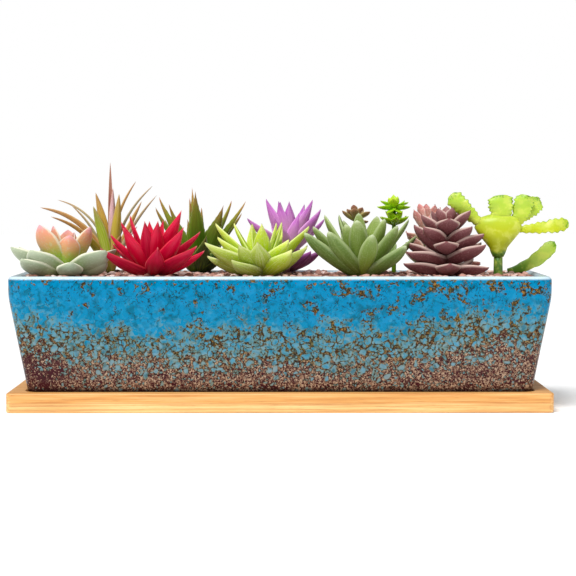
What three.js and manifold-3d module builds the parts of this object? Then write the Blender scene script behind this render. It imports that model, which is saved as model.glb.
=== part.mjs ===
// A long rectangular glazed pot on a bamboo tray, planted with succulents in a bed of pebbles.
// Units are millimetres. +Z is up, the origin is the middle of the tray's underside, -Y is the front.
import * as THREE from "three";
import { mergeVertices } from "three/addons/utils/BufferGeometryUtils.js";
import Module from "manifold-3d";

const wasm = await Module();
wasm.setup();

// Bamboo tray
const TRAY_PAST_RIM = 0.75; // how far the tray reaches past the pot's rim on each side
const TRAY_THICKNESS = 10.5;
const TRAY_CORNER = 3;
const TRAY_EDGE = 0.8;
const RECESS_DEPTH = 1.5;
const RECESS_CLEARANCE = 1.5;

// Ceramic pot
const RIM_LENGTH = 292;
const RIM_WIDTH = 84;
const POT_HEIGHT = 64;
const WALL = 5;
const FLOOR = 6;
const TAPER = 9.4; // how far each wall leans in from rim to base
const RIM_CORNER = 8;
const BASE_CORNER = 7;
const BASE_EDGE = 2.5;
const COLLAR = 11; // the height of the upright band at the top of the wall
const KNEE = 4; // how far below and above the band's foot the wall bends
const INNER_FILLET = 6;
const FOOT_WIDTH = 8;
const FOOT_HEIGHT = 1.5;
const LEAST_CORNER = 2;
const CORNER_STEPS = 4;

// Drainage
const DRAIN_RADIUS = 5;
const DRAIN_SPACING = 84;
const DRAIN_SIDES = 12;
const SCREEN_RADIUS = 12;
const SCREEN_THICKNESS = 0.8;
const SCREEN_PITCH = 5;
const SCREEN_GAP = 3.4;
const SCREEN_SIDES = 16;

// Planting bed
const FIT = 0.3; // the clearance between pieces that fit into each other
const SOIL_BELOW_RIM = 6;
const BED_THICKNESS = 1.6;
const BED_CLEARANCE = 0.8;
const STONE_PITCH = 12.5;
const STONE_RADIUS = 5.8;
const STONE_VARIATION = 0.18; // how much smaller the smallest stone is, as a share
const STONE_DRIFT = 1; // how far a stone lies off its place in the rows, each way
const STONE_SINK = 0.8; // how much lower the lowest stone lies
const STONE_BELOW_RIM = 0.4;
const CLEARING = 6.5; // how far the stones keep from the middle of each plant

// Plants
const ROOT_DEPTH = 18;
const CROWN_ABOVE_RIM = 0.5;
const STEM_SIDES = 6;
const STEM_NARROWING = 0.8; // the stem's radius at its top, as a share of that at its foot
const STEM_PAST_LEAVES = 2;
const LEAF_FOOT = 0.4; // how far from the stem's middle a leaf starts, as a share of its radius
const SIDE_ROLL = 25; // how far the leaves at a plant's two sides roll, with their front margins raised
const LEAF_STATIONS = [0, 0.4, 0.8]; // shares of a leaf's length at which its section is drawn
const KEEL = 0.75; // the share of a leaf's thickness that lies below its middle line
const LEAF_THINNING = 0.6; // the share of its thickness that a leaf loses towards its tip
const BEARING_JITTER = 4;
const RISE_JITTER = 3;
const LENGTH_JITTER = 0.05;
const LEAF_GAP = 0.4; // the least gap between the leaves of two neighbours

const CUT_PAST = 1; // how far a cutter reaches past the face that it cuts

const baseLength = RIM_LENGTH - 2 * TAPER;
const baseWidth = RIM_WIDTH - 2 * TAPER;
const trayLength = RIM_LENGTH + 2 * TRAY_PAST_RIM;
const trayWidth = RIM_WIDTH + 2 * TRAY_PAST_RIM;
const potFootZ = TRAY_THICKNESS - RECESS_DEPTH;
const soilTop = POT_HEIGHT - SOIL_BELOW_RIM;
const stoneTop = POT_HEIGHT - STONE_BELOW_RIM;
const crownZ = POT_HEIGHT + CROWN_ABOVE_RIM;
const kneeZ = POT_HEIGHT - COLLAR;
const lipMiddle = POT_HEIGHT - WALL / 2;
const radians = THREE.MathUtils.degToRad;

// Shapes of leaf: how wide the base is, where along it the leaf is widest, and how blunt its tip is.
const SPOON = { base: 0.5, widest: 0.62, tip: 0.8 };
const LANCE = { base: 0.62, widest: 0.4, tip: 1.15 };
const BLADE = { base: 0.9, widest: 0.15, tip: 1.3 };
const FINGER = { base: 0.62, widest: 0.55, tip: 0.6 };
const BOAT = { base: 0.5, widest: 0.5, tip: 0.95 };
const PADDLE = { base: 0.4, widest: 0.8, tip: 0.4 };
const STRAP = { base: 0.7, widest: 0.4, tip: 0.85 };

// Each plant: its place as shares of the bed's length and width, its stem, its leaves' shape, and its
// leaves. A leaf has its bearing, its rise from level and how much it curls up, its length, width and
// thickness, and how high up the stem it grows. A row with times repeats its leaf, turned further each
// time. A leaf with a roll is twisted about its own length; the others follow SIDE_ROLL.
const PLANTS = {
  sage_echeveria: {
    along: 0.085,
    across: 0.33,
    stem: 3.2,
    shape: SPOON,
    leaves: [
      { bearing: 282, rise: -6, curl: 44, length: 27, width: 14.5, thickness: 5.5, up: 0 },
      { bearing: 222, rise: -6, curl: 46, length: 31, width: 16, thickness: 5.5, up: 0 },
      { bearing: 330, rise: -6, curl: 44, length: 27, width: 15, thickness: 5.5, up: 0 },
      { bearing: 193, rise: 10, curl: 32, length: 33, width: 17, thickness: 5.5, up: 0.5 },
      { bearing: 163, rise: 12, curl: 30, length: 31, width: 15, thickness: 5, up: 0.5 },
      { bearing: 20, rise: 10, curl: 30, length: 30, width: 15, thickness: 5, up: 0.5, times: 4, turn: 36 },
      { bearing: 233, rise: 6, curl: 36, length: 30, width: 17.5, thickness: 5.5, up: 1.5 },
      { bearing: 316, rise: 4, curl: 34, length: 34, width: 17.5, thickness: 5.5, up: 1.5 },
      { bearing: 219, rise: 42, curl: 28, length: 29, width: 15, thickness: 5, up: 3 },
      { bearing: 350, rise: 50, curl: 24, length: 26, width: 13, thickness: 4.5, up: 3 },
      { bearing: 40, rise: 48, curl: 22, length: 25, width: 13, thickness: 4.5, up: 3, times: 3, turn: 52 },
      { bearing: 285, rise: 48, curl: 32, length: 20, width: 13, thickness: 5, up: 3.5 },
      { bearing: 190, rise: 64, curl: 22, length: 23, width: 11, thickness: 4, up: 4 },
      { bearing: 40, rise: 70, curl: 18, length: 19, width: 10, thickness: 4, up: 4 },
    ],
  },
  red_agave: {
    along: 0.252,
    across: 0.3,
    stem: 3.2,
    shape: LANCE,
    leaves: [
      { bearing: 215, rise: 10, curl: 30, length: 35, width: 11, thickness: 5, up: 0 },
      { bearing: 280, rise: 18, curl: 24, length: 31, width: 10.5, thickness: 5, up: 0 },
      { bearing: 335, rise: 10, curl: 26, length: 34, width: 9, thickness: 5, up: 0 },
      { bearing: 318, rise: 14, curl: 22, length: 37, width: 11.5, thickness: 5, up: 0.5 },
      { bearing: 60, rise: 22, curl: 18, length: 32, width: 10, thickness: 4.5, up: 0.5, times: 3, turn: 42 },
      { bearing: 185, rise: 34, curl: 20, length: 30, width: 8.5, thickness: 4.5, up: 1 },
      { bearing: 220, rise: 44, curl: 18, length: 30, width: 11, thickness: 5, up: 1.5 },
      { bearing: 348, rise: 32, curl: 16, length: 34, width: 9, thickness: 4.5, up: 1.5 },
      { bearing: 305, rise: 30, curl: 16, length: 40, width: 10, thickness: 4.5, up: 1.5 },
      { bearing: 283, rise: 50, curl: 12, length: 33, width: 10, thickness: 4.5, up: 2 },
      { bearing: 195, rise: 52, curl: 14, length: 31, width: 10, thickness: 4.5, up: 2 },
      { bearing: 320, rise: 52, curl: 10, length: 38, width: 10, thickness: 4.5, up: 3 },
      { bearing: 262, rise: 50, curl: 10, length: 32, width: 9, thickness: 4, up: 3 },
      { bearing: 170, rise: 64, curl: 10, length: 31, width: 8.5, thickness: 4, up: 3 },
      { bearing: 60, rise: 66, curl: 8, length: 28, width: 9, thickness: 4, up: 3, times: 2, turn: 45 },
    ],
  },
  lime_echeveria: {
    along: 0.465,
    across: 0.3,
    stem: 3.2,
    shape: LANCE,
    leaves: [
      { bearing: 185, rise: 4, curl: 30, length: 31, width: 13, thickness: 6, up: 0 },
      { bearing: 230, rise: 4, curl: 30, length: 26, width: 13, thickness: 5.5, up: 0 },
      { bearing: 310, rise: 16, curl: 26, length: 28, width: 14, thickness: 5.5, up: 0.5 },
      { bearing: 345, rise: 20, curl: 24, length: 29, width: 13, thickness: 5.5, up: 0 },
      { bearing: 30, rise: 16, curl: 26, length: 32, width: 13, thickness: 5, up: 0, times: 4, turn: 41 },
      { bearing: 204, rise: 16, curl: 22, length: 37, width: 16, thickness: 6, up: 1 },
      { bearing: 180, rise: 30, curl: 18, length: 30, width: 13, thickness: 5.5, up: 1.5 },
      { bearing: 240, rise: 22, curl: 20, length: 28, width: 13, thickness: 5, up: 2 },
      { bearing: 320, rise: 34, curl: 20, length: 25, width: 13, thickness: 5, up: 2 },
      { bearing: 10, rise: 36, curl: 16, length: 35, width: 13, thickness: 5.5, up: 2 },
      { bearing: 170, rise: 38, curl: 16, length: 36, width: 13.5, thickness: 5, up: 2 },
      { bearing: 60, rise: 40, curl: 18, length: 32, width: 12, thickness: 4.5, up: 2, times: 2, turn: 45 },
      { bearing: 265, rise: 20, curl: 26, length: 29, width: 13, thickness: 5, up: 2.5 },
      { bearing: 150, rise: 50, curl: 12, length: 30, width: 11.5, thickness: 4.5, up: 3 },
      { bearing: 35, rise: 60, curl: 10, length: 28, width: 11, thickness: 4.5, up: 3 },
      { bearing: 270, rise: 58, curl: 8, length: 27, width: 10, thickness: 4, up: 4 },
      { bearing: 20, rise: 70, curl: 8, length: 25, width: 9, thickness: 4, up: 4, times: 2, turn: 110 },
    ],
  },
  green_finger: {
    along: 0.659,
    across: 0.32,
    stem: 3.2,
    shape: FINGER,
    leaves: [
      { bearing: 205, rise: 24, curl: 20, length: 41, width: 11, thickness: 6, up: 0 },
      { bearing: 320, rise: 18, curl: 22, length: 33, width: 11, thickness: 6, up: 0 },
      { bearing: 10, rise: 24, curl: 22, length: 36, width: 11, thickness: 5.5, up: 0 },
      { bearing: 50, rise: 14, curl: 28, length: 34, width: 11, thickness: 5.5, up: 0, times: 3, turn: 40 },
      { bearing: 185, rise: 34, curl: 20, length: 36, width: 10.5, thickness: 5.5, up: 1 },
      { bearing: 230, rise: 30, curl: 16, length: 36, width: 10.5, thickness: 6, up: 1.5 },
      { bearing: 280, rise: 32, curl: 16, length: 32, width: 10, thickness: 6, up: 1.5 },
      { bearing: 330, rise: 44, curl: 12, length: 32, width: 9.5, thickness: 5.5, up: 2 },
      { bearing: 15, rise: 40, curl: 14, length: 38, width: 9.5, thickness: 5, up: 2 },
      { bearing: 170, rise: 50, curl: 14, length: 36, width: 10.5, thickness: 5, up: 2 },
      { bearing: 70, rise: 40, curl: 18, length: 37, width: 10, thickness: 5, up: 2, times: 2, turn: 40 },
      { bearing: 225, rise: 60, curl: 8, length: 27, width: 9.5, thickness: 5, up: 3 },
      { bearing: 150, rise: 62, curl: 8, length: 32, width: 9.5, thickness: 5, up: 3 },
      { bearing: 330, rise: 62, curl: 6, length: 30, width: 9, thickness: 5, up: 3 },
      { bearing: 260, rise: 50, curl: 8, length: 33, width: 11, thickness: 5.5, up: 3 },
      { bearing: 65, rise: 50, curl: 6, length: 34, width: 11, thickness: 5, up: 4 },
      { bearing: 100, rise: 72, curl: 8, length: 30, width: 9, thickness: 5, up: 4 },
    ],
  },
  mauve_pinecone: {
    along: 0.823,
    across: 0.32,
    stem: 3.4,
    shape: BOAT,
    leaves: [
      { bearing: 195, rise: 0, curl: 18, length: 24, width: 12, thickness: 6, up: 2 },
      { bearing: 340, rise: -4, curl: 16, length: 23, width: 12, thickness: 6, up: 2 },
      { bearing: 270, rise: 2, curl: 18, length: 23, width: 14.5, thickness: 6.5, up: 2 },
      { bearing: 45, rise: 6, curl: 18, length: 23, width: 12, thickness: 6, up: 2, times: 3, turn: 48 },
      { bearing: 205, rise: 0, curl: 20, length: 24, width: 13, thickness: 6, up: 8 },
      { bearing: 330, rise: 10, curl: 20, length: 24, width: 13, thickness: 6, up: 8 },
      { bearing: 20, rise: 14, curl: 20, length: 22, width: 12, thickness: 6, up: 8, times: 4, turn: 49 },
      { bearing: 190, rise: 28, curl: 22, length: 22, width: 13, thickness: 6, up: 13 },
      { bearing: 265, rise: 2, curl: 20, length: 20, width: 14, thickness: 6, up: 14 },
      { bearing: 350, rise: 12, curl: 20, length: 21, width: 12.5, thickness: 6, up: 14 },
      { bearing: 60, rise: 20, curl: 20, length: 21, width: 12, thickness: 6, up: 14, times: 2, turn: 60 },
      { bearing: 220, rise: 16, curl: 20, length: 18, width: 11, thickness: 5.5, up: 18 },
      { bearing: 325, rise: 18, curl: 20, length: 17, width: 11, thickness: 5.5, up: 18 },
      { bearing: 185, rise: 32, curl: 20, length: 17, width: 11, thickness: 5, up: 21 },
      { bearing: 270, rise: 14, curl: 20, length: 16, width: 13.5, thickness: 5.5, up: 24 },
      { bearing: 350, rise: 34, curl: 16, length: 16, width: 10.5, thickness: 5, up: 24 },
      { bearing: 50, rise: 34, curl: 18, length: 17, width: 10, thickness: 5, up: 23, times: 2, turn: 70 },
      { bearing: 205, rise: 60, curl: 14, length: 9.5, width: 8.5, thickness: 4, up: 27 },
      { bearing: 320, rise: 68, curl: 14, length: 9.5, width: 8.5, thickness: 4, up: 27 },
      { bearing: 85, rise: 56, curl: 14, length: 11, width: 8, thickness: 4, up: 27 },
    ],
  },
  purple_echeveria: {
    along: 0.518,
    across: 0.76,
    stem: 2.8,
    shape: LANCE,
    leaves: [
      { bearing: 320, rise: 18, curl: 30, length: 18, width: 12, thickness: 4, up: 2 },
      { bearing: 345, rise: 16, curl: 28, length: 21, width: 10, thickness: 4, up: 2 },
      { bearing: 235, rise: 14, curl: 28, length: 22, width: 11, thickness: 4, up: 2 },
      { bearing: 75, rise: 14, curl: 28, length: 24, width: 11, thickness: 4, up: 2, times: 3, turn: 55 },
      { bearing: 195, rise: 26, curl: 20, length: 29, width: 9.5, thickness: 5, up: 13 },
      { bearing: 345, rise: 44, curl: 16, length: 28, width: 10.5, thickness: 5, up: 13 },
      { bearing: 310, rise: 60, curl: 20, length: 21, width: 10, thickness: 5, up: 13 },
      { bearing: 20, rise: 30, curl: 18, length: 26, width: 9.5, thickness: 5, up: 13, times: 3, turn: 50 },
      { bearing: 235, rise: 44, curl: 16, length: 22, width: 8.5, thickness: 5, up: 13 },
      { bearing: 205, rise: 58, curl: 10, length: 29, width: 9, thickness: 5, up: 15 },
      { bearing: 330, rise: 56, curl: 10, length: 29, width: 8.5, thickness: 5, up: 15 },
      { bearing: 230, rise: 66, curl: 10, length: 25, width: 8, thickness: 5, up: 16 },
      { bearing: 270, rise: 74, curl: 8, length: 24, width: 8, thickness: 4, up: 16 },
      { bearing: 50, rise: 56, curl: 8, length: 25, width: 8, thickness: 4, up: 16 },
      { bearing: 130, rise: 70, curl: 8, length: 24, width: 8, thickness: 4, up: 16 },
    ],
  },
  dark_aloe: {
    along: 0.334,
    across: 0.76,
    stem: 3,
    shape: BLADE,
    leaves: [
      { bearing: 320, rise: 56, curl: 12, length: 40, width: 13, thickness: 4.5, up: 2, roll: -45 },
      { bearing: 325, rise: 24, curl: 20, length: 27, width: 12, thickness: 4.5, up: 1, roll: -30 },
      { bearing: 200, rise: 58, curl: 8, length: 45, width: 9, thickness: 4, up: 2 },
      { bearing: 180, rise: 52, curl: 10, length: 41, width: 9, thickness: 4, up: 1.5 },
      { bearing: 215, rise: 60, curl: 8, length: 40, width: 9, thickness: 4, up: 2 },
      { bearing: 10, rise: 60, curl: 8, length: 42, width: 8, thickness: 4, up: 2 },
      { bearing: 340, rise: 50, curl: 6, length: 47, width: 6.5, thickness: 3.5, up: 2 },
      { bearing: 0, rise: 48, curl: 8, length: 39, width: 6, thickness: 3.5, up: 2 },
      { bearing: 60, rise: 44, curl: 14, length: 33, width: 10, thickness: 4, up: 2, times: 3, turn: 45 },
      { bearing: 245, rise: 30, curl: 16, length: 32, width: 11, thickness: 4, up: 1, times: 2, turn: 40 },
      { bearing: 330, rise: 84, curl: 6, length: 32, width: 8, thickness: 3.5, up: 4 },
      { bearing: 100, rise: 62, curl: 4, length: 48, width: 8, thickness: 3.5, up: 4 },
      { bearing: 270, rise: 60, curl: 4, length: 46, width: 11, thickness: 4, up: 4.5 },
      { bearing: 120, rise: 76, curl: 4, length: 38, width: 8, thickness: 3.5, up: 4 },
    ],
  },
  spiky_airplant: {
    along: 0.16,
    across: 0.78,
    stem: 2.8,
    shape: STRAP,
    leaves: [
      { bearing: 190, rise: 78, curl: -70, length: 56, width: 5.5, thickness: 2.6, up: 0 },
      { bearing: 205, rise: 70, curl: -56, length: 48, width: 4, thickness: 2.4, up: 0 },
      { bearing: 165, rise: 94, curl: -84, length: 55, width: 2.4, thickness: 2, up: 0.5 },
      { bearing: 180, rise: 80, curl: -40, length: 44, width: 2.2, thickness: 2, up: 0.5 },
      { bearing: 10, rise: 88, curl: -48, length: 54, width: 2.2, thickness: 2, up: 1 },
      { bearing: 330, rise: 66, curl: -24, length: 52, width: 2.2, thickness: 2, up: 1 },
      { bearing: 350, rise: 70, curl: -8, length: 42, width: 4.5, thickness: 2.6, up: 1 },
      { bearing: 20, rise: 96, curl: -44, length: 52, width: 3.4, thickness: 2.4, up: 2 },
      { bearing: 240, rise: 50, curl: -20, length: 38, width: 6, thickness: 2.8, up: 0 },
      { bearing: 60, rise: 58, curl: -28, length: 36, width: 5, thickness: 2.6, up: 0, times: 3, turn: 40 },
      { bearing: 290, rise: 52, curl: -16, length: 30, width: 6, thickness: 2.8, up: 0 },
      { bearing: 225, rise: 76, curl: -8, length: 37, width: 7.5, thickness: 3, up: 1.5 },
      { bearing: 200, rise: 84, curl: -8, length: 43, width: 7, thickness: 3, up: 2, roll: 40 },
      { bearing: 320, rise: 78, curl: 8, length: 42, width: 6.5, thickness: 3, up: 2 },
      { bearing: 300, rise: 86, curl: 2, length: 44, width: 5, thickness: 2.6, up: 3 },
      { bearing: 95, rise: 74, curl: 8, length: 60, width: 3, thickness: 2.4, up: 3 },
    ],
  },
  bronze_rosette: {
    along: 0.652,
    across: 0.82,
    stem: 1.4,
    shape: SPOON,
    leaves: [
      { bearing: 190, rise: 20, curl: 30, length: 9, width: 4, thickness: 2, up: 29 },
      { bearing: 325, rise: -12, curl: 26, length: 8, width: 4.5, thickness: 2.2, up: 28 },
      { bearing: 350, rise: 12, curl: 24, length: 8.5, width: 5.5, thickness: 2.2, up: 30 },
      { bearing: 215, rise: 28, curl: 20, length: 6, width: 5, thickness: 2.2, up: 31 },
      { bearing: 60, rise: 20, curl: 26, length: 9.5, width: 5, thickness: 2.2, up: 30, times: 2, turn: 65 },
      { bearing: 260, rise: 30, curl: 26, length: 8, width: 5, thickness: 2.2, up: 30 },
      { bearing: 330, rise: 38, curl: 14, length: 5.5, width: 4, thickness: 2, up: 32 },
      { bearing: 150, rise: 80, curl: 14, length: 4.5, width: 4, thickness: 2, up: 32 },
      { bearing: 245, rise: 56, curl: 16, length: 6, width: 4, thickness: 2, up: 32 },
    ],
  },
  lime_sedum: {
    along: 0.729,
    across: 0.82,
    stem: 1.4,
    shape: LANCE,
    leaves: [
      { bearing: 215, rise: 12, curl: 24, length: 9.5, width: 5.5, thickness: 2, up: 27, times: 6, turn: 60 },
      { bearing: 240, rise: 44, curl: 16, length: 8, width: 5, thickness: 2, up: 28, times: 4, turn: 90 },
      { bearing: 190, rise: -10, curl: 24, length: 9.5, width: 5.5, thickness: 2.2, up: 36 },
      { bearing: 350, rise: -10, curl: 24, length: 9, width: 5.5, thickness: 2.2, up: 36 },
      { bearing: 240, rise: -30, curl: 20, length: 8, width: 5.5, thickness: 2.2, up: 35.5 },
      { bearing: 300, rise: -30, curl: 20, length: 7.5, width: 5.5, thickness: 2.2, up: 35.5 },
      { bearing: 45, rise: 12, curl: 24, length: 9.5, width: 5.5, thickness: 2, up: 36, times: 3, turn: 45 },
      { bearing: 170, rise: 16, curl: 16, length: 8, width: 5, thickness: 2, up: 36.5 },
      { bearing: 15, rise: 8, curl: 16, length: 8.5, width: 5, thickness: 2, up: 36.5 },
      { bearing: 210, rise: 50, curl: 10, length: 5.5, width: 5, thickness: 2, up: 37 },
      { bearing: 330, rise: 66, curl: 10, length: 5.5, width: 5, thickness: 2, up: 37 },
      { bearing: 260, rise: 34, curl: 12, length: 7.5, width: 6, thickness: 2.2, up: 36.5 },
      { bearing: 90, rise: 50, curl: 12, length: 7.5, width: 5, thickness: 2, up: 37 },
    ],
  },
  blush_rosette: {
    along: 0.8,
    across: 0.8,
    stem: 2.2,
    shape: SPOON,
    leaves: [
      { bearing: 340, rise: 0, curl: 10, length: 29, width: 9, thickness: 3.4, up: 2 },
      { bearing: 200, rise: 48, curl: 16, length: 18, width: 8, thickness: 3.4, up: 5 },
      { bearing: 225, rise: 48, curl: 16, length: 12, width: 8, thickness: 3.4, up: 3 },
      { bearing: 75, rise: 14, curl: 24, length: 20, width: 9, thickness: 3.4, up: 3, times: 2, turn: 60 },
      { bearing: 190, rise: 24, curl: 24, length: 16, width: 8, thickness: 3.2, up: 13, times: 4, turn: 90 },
      { bearing: 195, rise: 52, curl: 16, length: 17, width: 6, thickness: 2.6, up: 20 },
      { bearing: 185, rise: 62, curl: 16, length: 15, width: 7, thickness: 2.8, up: 24 },
      { bearing: 220, rise: 74, curl: 16, length: 13, width: 7, thickness: 2.8, up: 25 },
      { bearing: 325, rise: 70, curl: 16, length: 13, width: 7, thickness: 2.8, up: 25 },
      { bearing: 350, rise: 60, curl: 16, length: 14, width: 7, thickness: 2.6, up: 23 },
      { bearing: 60, rise: 40, curl: 16, length: 12, width: 7, thickness: 3, up: 23, times: 2, turn: 70 },
      { bearing: 270, rise: 44, curl: 16, length: 9, width: 7, thickness: 3, up: 24 },
    ],
  },
  spurge_offshoot: {
    along: 0.95,
    across: 0.66,
    stem: 2,
    shape: PADDLE,
    leaves: [
      { bearing: 355, rise: 10, curl: 46, length: 32, width: 8, thickness: 3.4, up: 0, roll: 80 },
    ],
  },
};

// The crested spurge: a trunk, a flattened funnel on it, and paddle arms round the funnel's top.
const SPURGE = {
  along: 0.925,
  across: 0.36,
  stem: 3,
  trunkTop: 11,
  shape: PADDLE,
  // The funnel's sections, with their heights above the crown.
  funnel: [
    { halfWidth: 3, halfDepth: 3, up: 9 },
    { halfWidth: 5, halfDepth: 4, up: 14 },
    { halfWidth: 9.5, halfDepth: 5.5, up: 19.5 },
    { halfWidth: 13.2, halfDepth: 5.5, up: 25 },
    { halfWidth: 10.5, halfDepth: 4.5, up: 30.5 },
  ],
  // Each arm, with its foot's place along the funnel and above the crown.
  arms: [
    { bearing: 180, side: -9, up: 26.5, rise: 40, curl: 8, roll: 80, length: 24, width: 9.5, thickness: 3.4 },
    { bearing: 0, side: 11, up: 24, rise: 3, curl: 8, roll: 76, length: 28, width: 7.5, thickness: 3.2 },
    { bearing: 180, side: 2, up: 26, rise: 88, curl: -4, roll: 90, length: 17, width: 14, thickness: 4.5 },
    { bearing: 0, side: 9.5, up: 26, rise: 67, curl: 8, roll: 84, length: 18, width: 11, thickness: 4 },
    { bearing: 22, side: 12, up: 29, rise: 38, curl: 12, roll: 80, length: 17, width: 9, thickness: 3.6 },
  ],
};

// A steady number from 0 to 1 for each whole number, to vary what repeats.
function scatter(n) {
  const wave = Math.sin(n * 12.9898) * 43758.5453;
  return wave - Math.floor(wave);
}

// A steady number that far either way of nought.
function spread(n, reach) {
  return reach * (2 * scatter(n) - 1);
}

// A closed solid through rings of points, listed so that each turns left about the way they go.
function loft(rings) {
  const positions = rings.flat(2);
  const sides = rings[0].length;
  const triangles = [];
  for (let side = 1; side < sides - 1; side++) triangles.push(0, side + 1, side);
  let start = 0;
  rings.slice(1).forEach((ring) => {
    const next = start + sides;
    for (let side = 0; side < sides; side++) {
      const other = (side + 1) % sides;
      if (ring.length === 1) {
        triangles.push(start + side, start + other, next);
      } else {
        triangles.push(start + side, start + other, next + other);
        triangles.push(start + side, next + other, next + side);
      }
    }
    start = next;
  });
  if (rings.at(-1).length > 1)
    for (let side = 1; side < sides - 1; side++) triangles.push(start, start + side, start + side + 1);
  const geometry = new THREE.BufferGeometry();
  geometry.setAttribute("position", new THREE.Float32BufferAttribute(positions, 3));
  geometry.setIndex(triangles);
  return geometry;
}

function toSolid(geometry) {
  const bare = geometry.clone();
  bare.deleteAttribute("normal");
  bare.deleteAttribute("uv");
  const merged = mergeVertices(bare, 1e-4);
  return new wasm.Manifold(
    new wasm.Mesh({
      numProp: 3,
      vertProperties: new Float32Array(merged.attributes.position.array),
      triVerts: new Uint32Array(merged.index.array),
    }),
  );
}

function toGeometry(solid) {
  const mesh = solid.getMesh();
  const geometry = new THREE.BufferGeometry();
  geometry.setAttribute("position", new THREE.Float32BufferAttribute(mesh.vertProperties, 3));
  geometry.setIndex(new THREE.Uint32BufferAttribute(mesh.triVerts, 1));
  geometry.computeVertexNormals();
  return geometry;
}

function joinAll(solids) {
  return solids.reduce((whole, solid) => whole.add(solid));
}

function cutAll(solid, cutters) {
  return cutters.reduce((left, cutter) => left.subtract(cutter), solid);
}

// One level ring of a rectangle with round corners, turning left seen from above.
function rectangleRing(length, width, corner, z) {
  const middles = [
    [length / 2 - corner, width / 2 - corner, 0],
    [corner - length / 2, width / 2 - corner, 90],
    [corner - length / 2, corner - width / 2, 180],
    [length / 2 - corner, corner - width / 2, 270],
  ];
  return middles.flatMap(([x, y, start]) =>
    Array.from({ length: CORNER_STEPS + 1 }, (_, step) => {
      const angle = radians(start + (90 * step) / CORNER_STEPS);
      return [x + corner * Math.cos(angle), y + corner * Math.sin(angle), z];
    }),
  );
}

// An upright prism or cone. Half a side's turn keeps its corners off the pot's middle planes.
function upright(radiusTop, radiusBottom, low, high, sides, x = 0, y = 0) {
  const geometry = new THREE.CylinderGeometry(radiusTop, radiusBottom, high - low, sides);
  geometry.rotateX(Math.PI / 2);
  geometry.rotateZ(Math.PI / sides);
  geometry.translate(x, y, (low + high) / 2);
  return toSolid(geometry);
}

// How far the sloping wall below the upright band stands in from the rim's outline at a height.
function leanIn(z) {
  return TAPER * (1 - z / kneeZ);
}

// The pot's outer wall, from under the base's edge up to the lip: inset and height.
const outerWall = new THREE.Path();
outerWall.moveTo(leanIn(0) + BASE_EDGE, 0);
outerWall.quadraticCurveTo(leanIn(0), 0, leanIn(BASE_EDGE), BASE_EDGE);
outerWall.lineTo(leanIn(kneeZ - KNEE), kneeZ - KNEE);
outerWall.quadraticCurveTo(0, kneeZ, 0, kneeZ + KNEE);
outerWall.lineTo(0, lipMiddle);

// The inner wall, from the lip down to the floor's edge.
const filletTop = FLOOR + INNER_FILLET;
const innerWall = new THREE.Path();
innerWall.moveTo(WALL, lipMiddle);
innerWall.lineTo(WALL, kneeZ + KNEE);
innerWall.quadraticCurveTo(WALL, kneeZ, WALL + leanIn(kneeZ - KNEE), kneeZ - KNEE);
innerWall.lineTo(WALL + leanIn(filletTop), filletTop);
innerWall.quadraticCurveTo(WALL + leanIn(FLOOR), FLOOR, WALL + leanIn(FLOOR) + INNER_FILLET, FLOOR);

function wallRing(inset, z, depth) {
  const corner = THREE.MathUtils.lerp(BASE_CORNER, RIM_CORNER, z / POT_HEIGHT) - depth;
  return rectangleRing(RIM_LENGTH - 2 * inset, RIM_WIDTH - 2 * inset, Math.max(corner, LEAST_CORNER), z);
}

// The inner wall's inset at a height; above its last point it goes straight up.
function innerInset(z) {
  const points = innerWall.getPoints(4).reverse();
  const upper = points.findIndex((point) => point.y >= z);
  if (upper < 1) return points.at(upper).x;
  const [a, b] = [points[upper - 1], points[upper]];
  return THREE.MathUtils.lerp(a.x, b.x, (z - a.y) / (b.y - a.y));
}

// Rings that follow the pot's inner wall at a clearance, between two heights.
function insideRings(clearance, low, high) {
  const levels = innerWall.getPoints(4).map((point) => point.y);
  const between = levels.filter((z) => z > low && z < high).reverse();
  return [low, ...between, high].map((z) => wallRing(innerInset(z) + clearance, z, WALL + clearance));
}

function drainCentres() {
  return [-1, 0, 1].map((place) => place * DRAIN_SPACING);
}

function makePot() {
  const outside = outerWall.getPoints(4).map((p) => wallRing(p.x, p.y, 0));
  const lip = [150, 120, 90, 60, 30].map((degrees) => {
    const inset = (WALL / 2) * (1 + Math.cos(radians(degrees)));
    return wallRing(inset, lipMiddle + (WALL / 2) * Math.sin(radians(degrees)), inset);
  });
  const inside = innerWall.getPoints(4).map((p) => wallRing(p.x, p.y, WALL));
  const shell = toSolid(loft([...outside, ...lip, ...inside]));
  const footRing = [-CUT_PAST, FOOT_HEIGHT].map((z) =>
    rectangleRing(baseLength - 2 * FOOT_WIDTH, baseWidth - 2 * FOOT_WIDTH, BASE_CORNER, z),
  );
  const drains = drainCentres().map((x) =>
    upright(DRAIN_RADIUS, DRAIN_RADIUS, -CUT_PAST, FLOOR + CUT_PAST, DRAIN_SIDES, x),
  );
  return cutAll(shell, [toSolid(loft(footRing)), ...drains]);
}

function makeTray() {
  const board = [
    [TRAY_EDGE, 0],
    [0, TRAY_EDGE],
    [0, TRAY_THICKNESS - TRAY_EDGE],
    [TRAY_EDGE, TRAY_THICKNESS],
  ].map(([inset, z]) =>
    rectangleRing(trayLength - 2 * inset, trayWidth - 2 * inset, TRAY_CORNER, z),
  );
  const recess = [potFootZ, TRAY_THICKNESS + CUT_PAST].map((z) =>
    rectangleRing(
      baseLength + 2 * RECESS_CLEARANCE,
      baseWidth + 2 * RECESS_CLEARANCE,
      BASE_CORNER + RECESS_CLEARANCE,
      z,
    ),
  );
  return toSolid(loft(board)).subtract(toSolid(loft(recess)));
}

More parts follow.
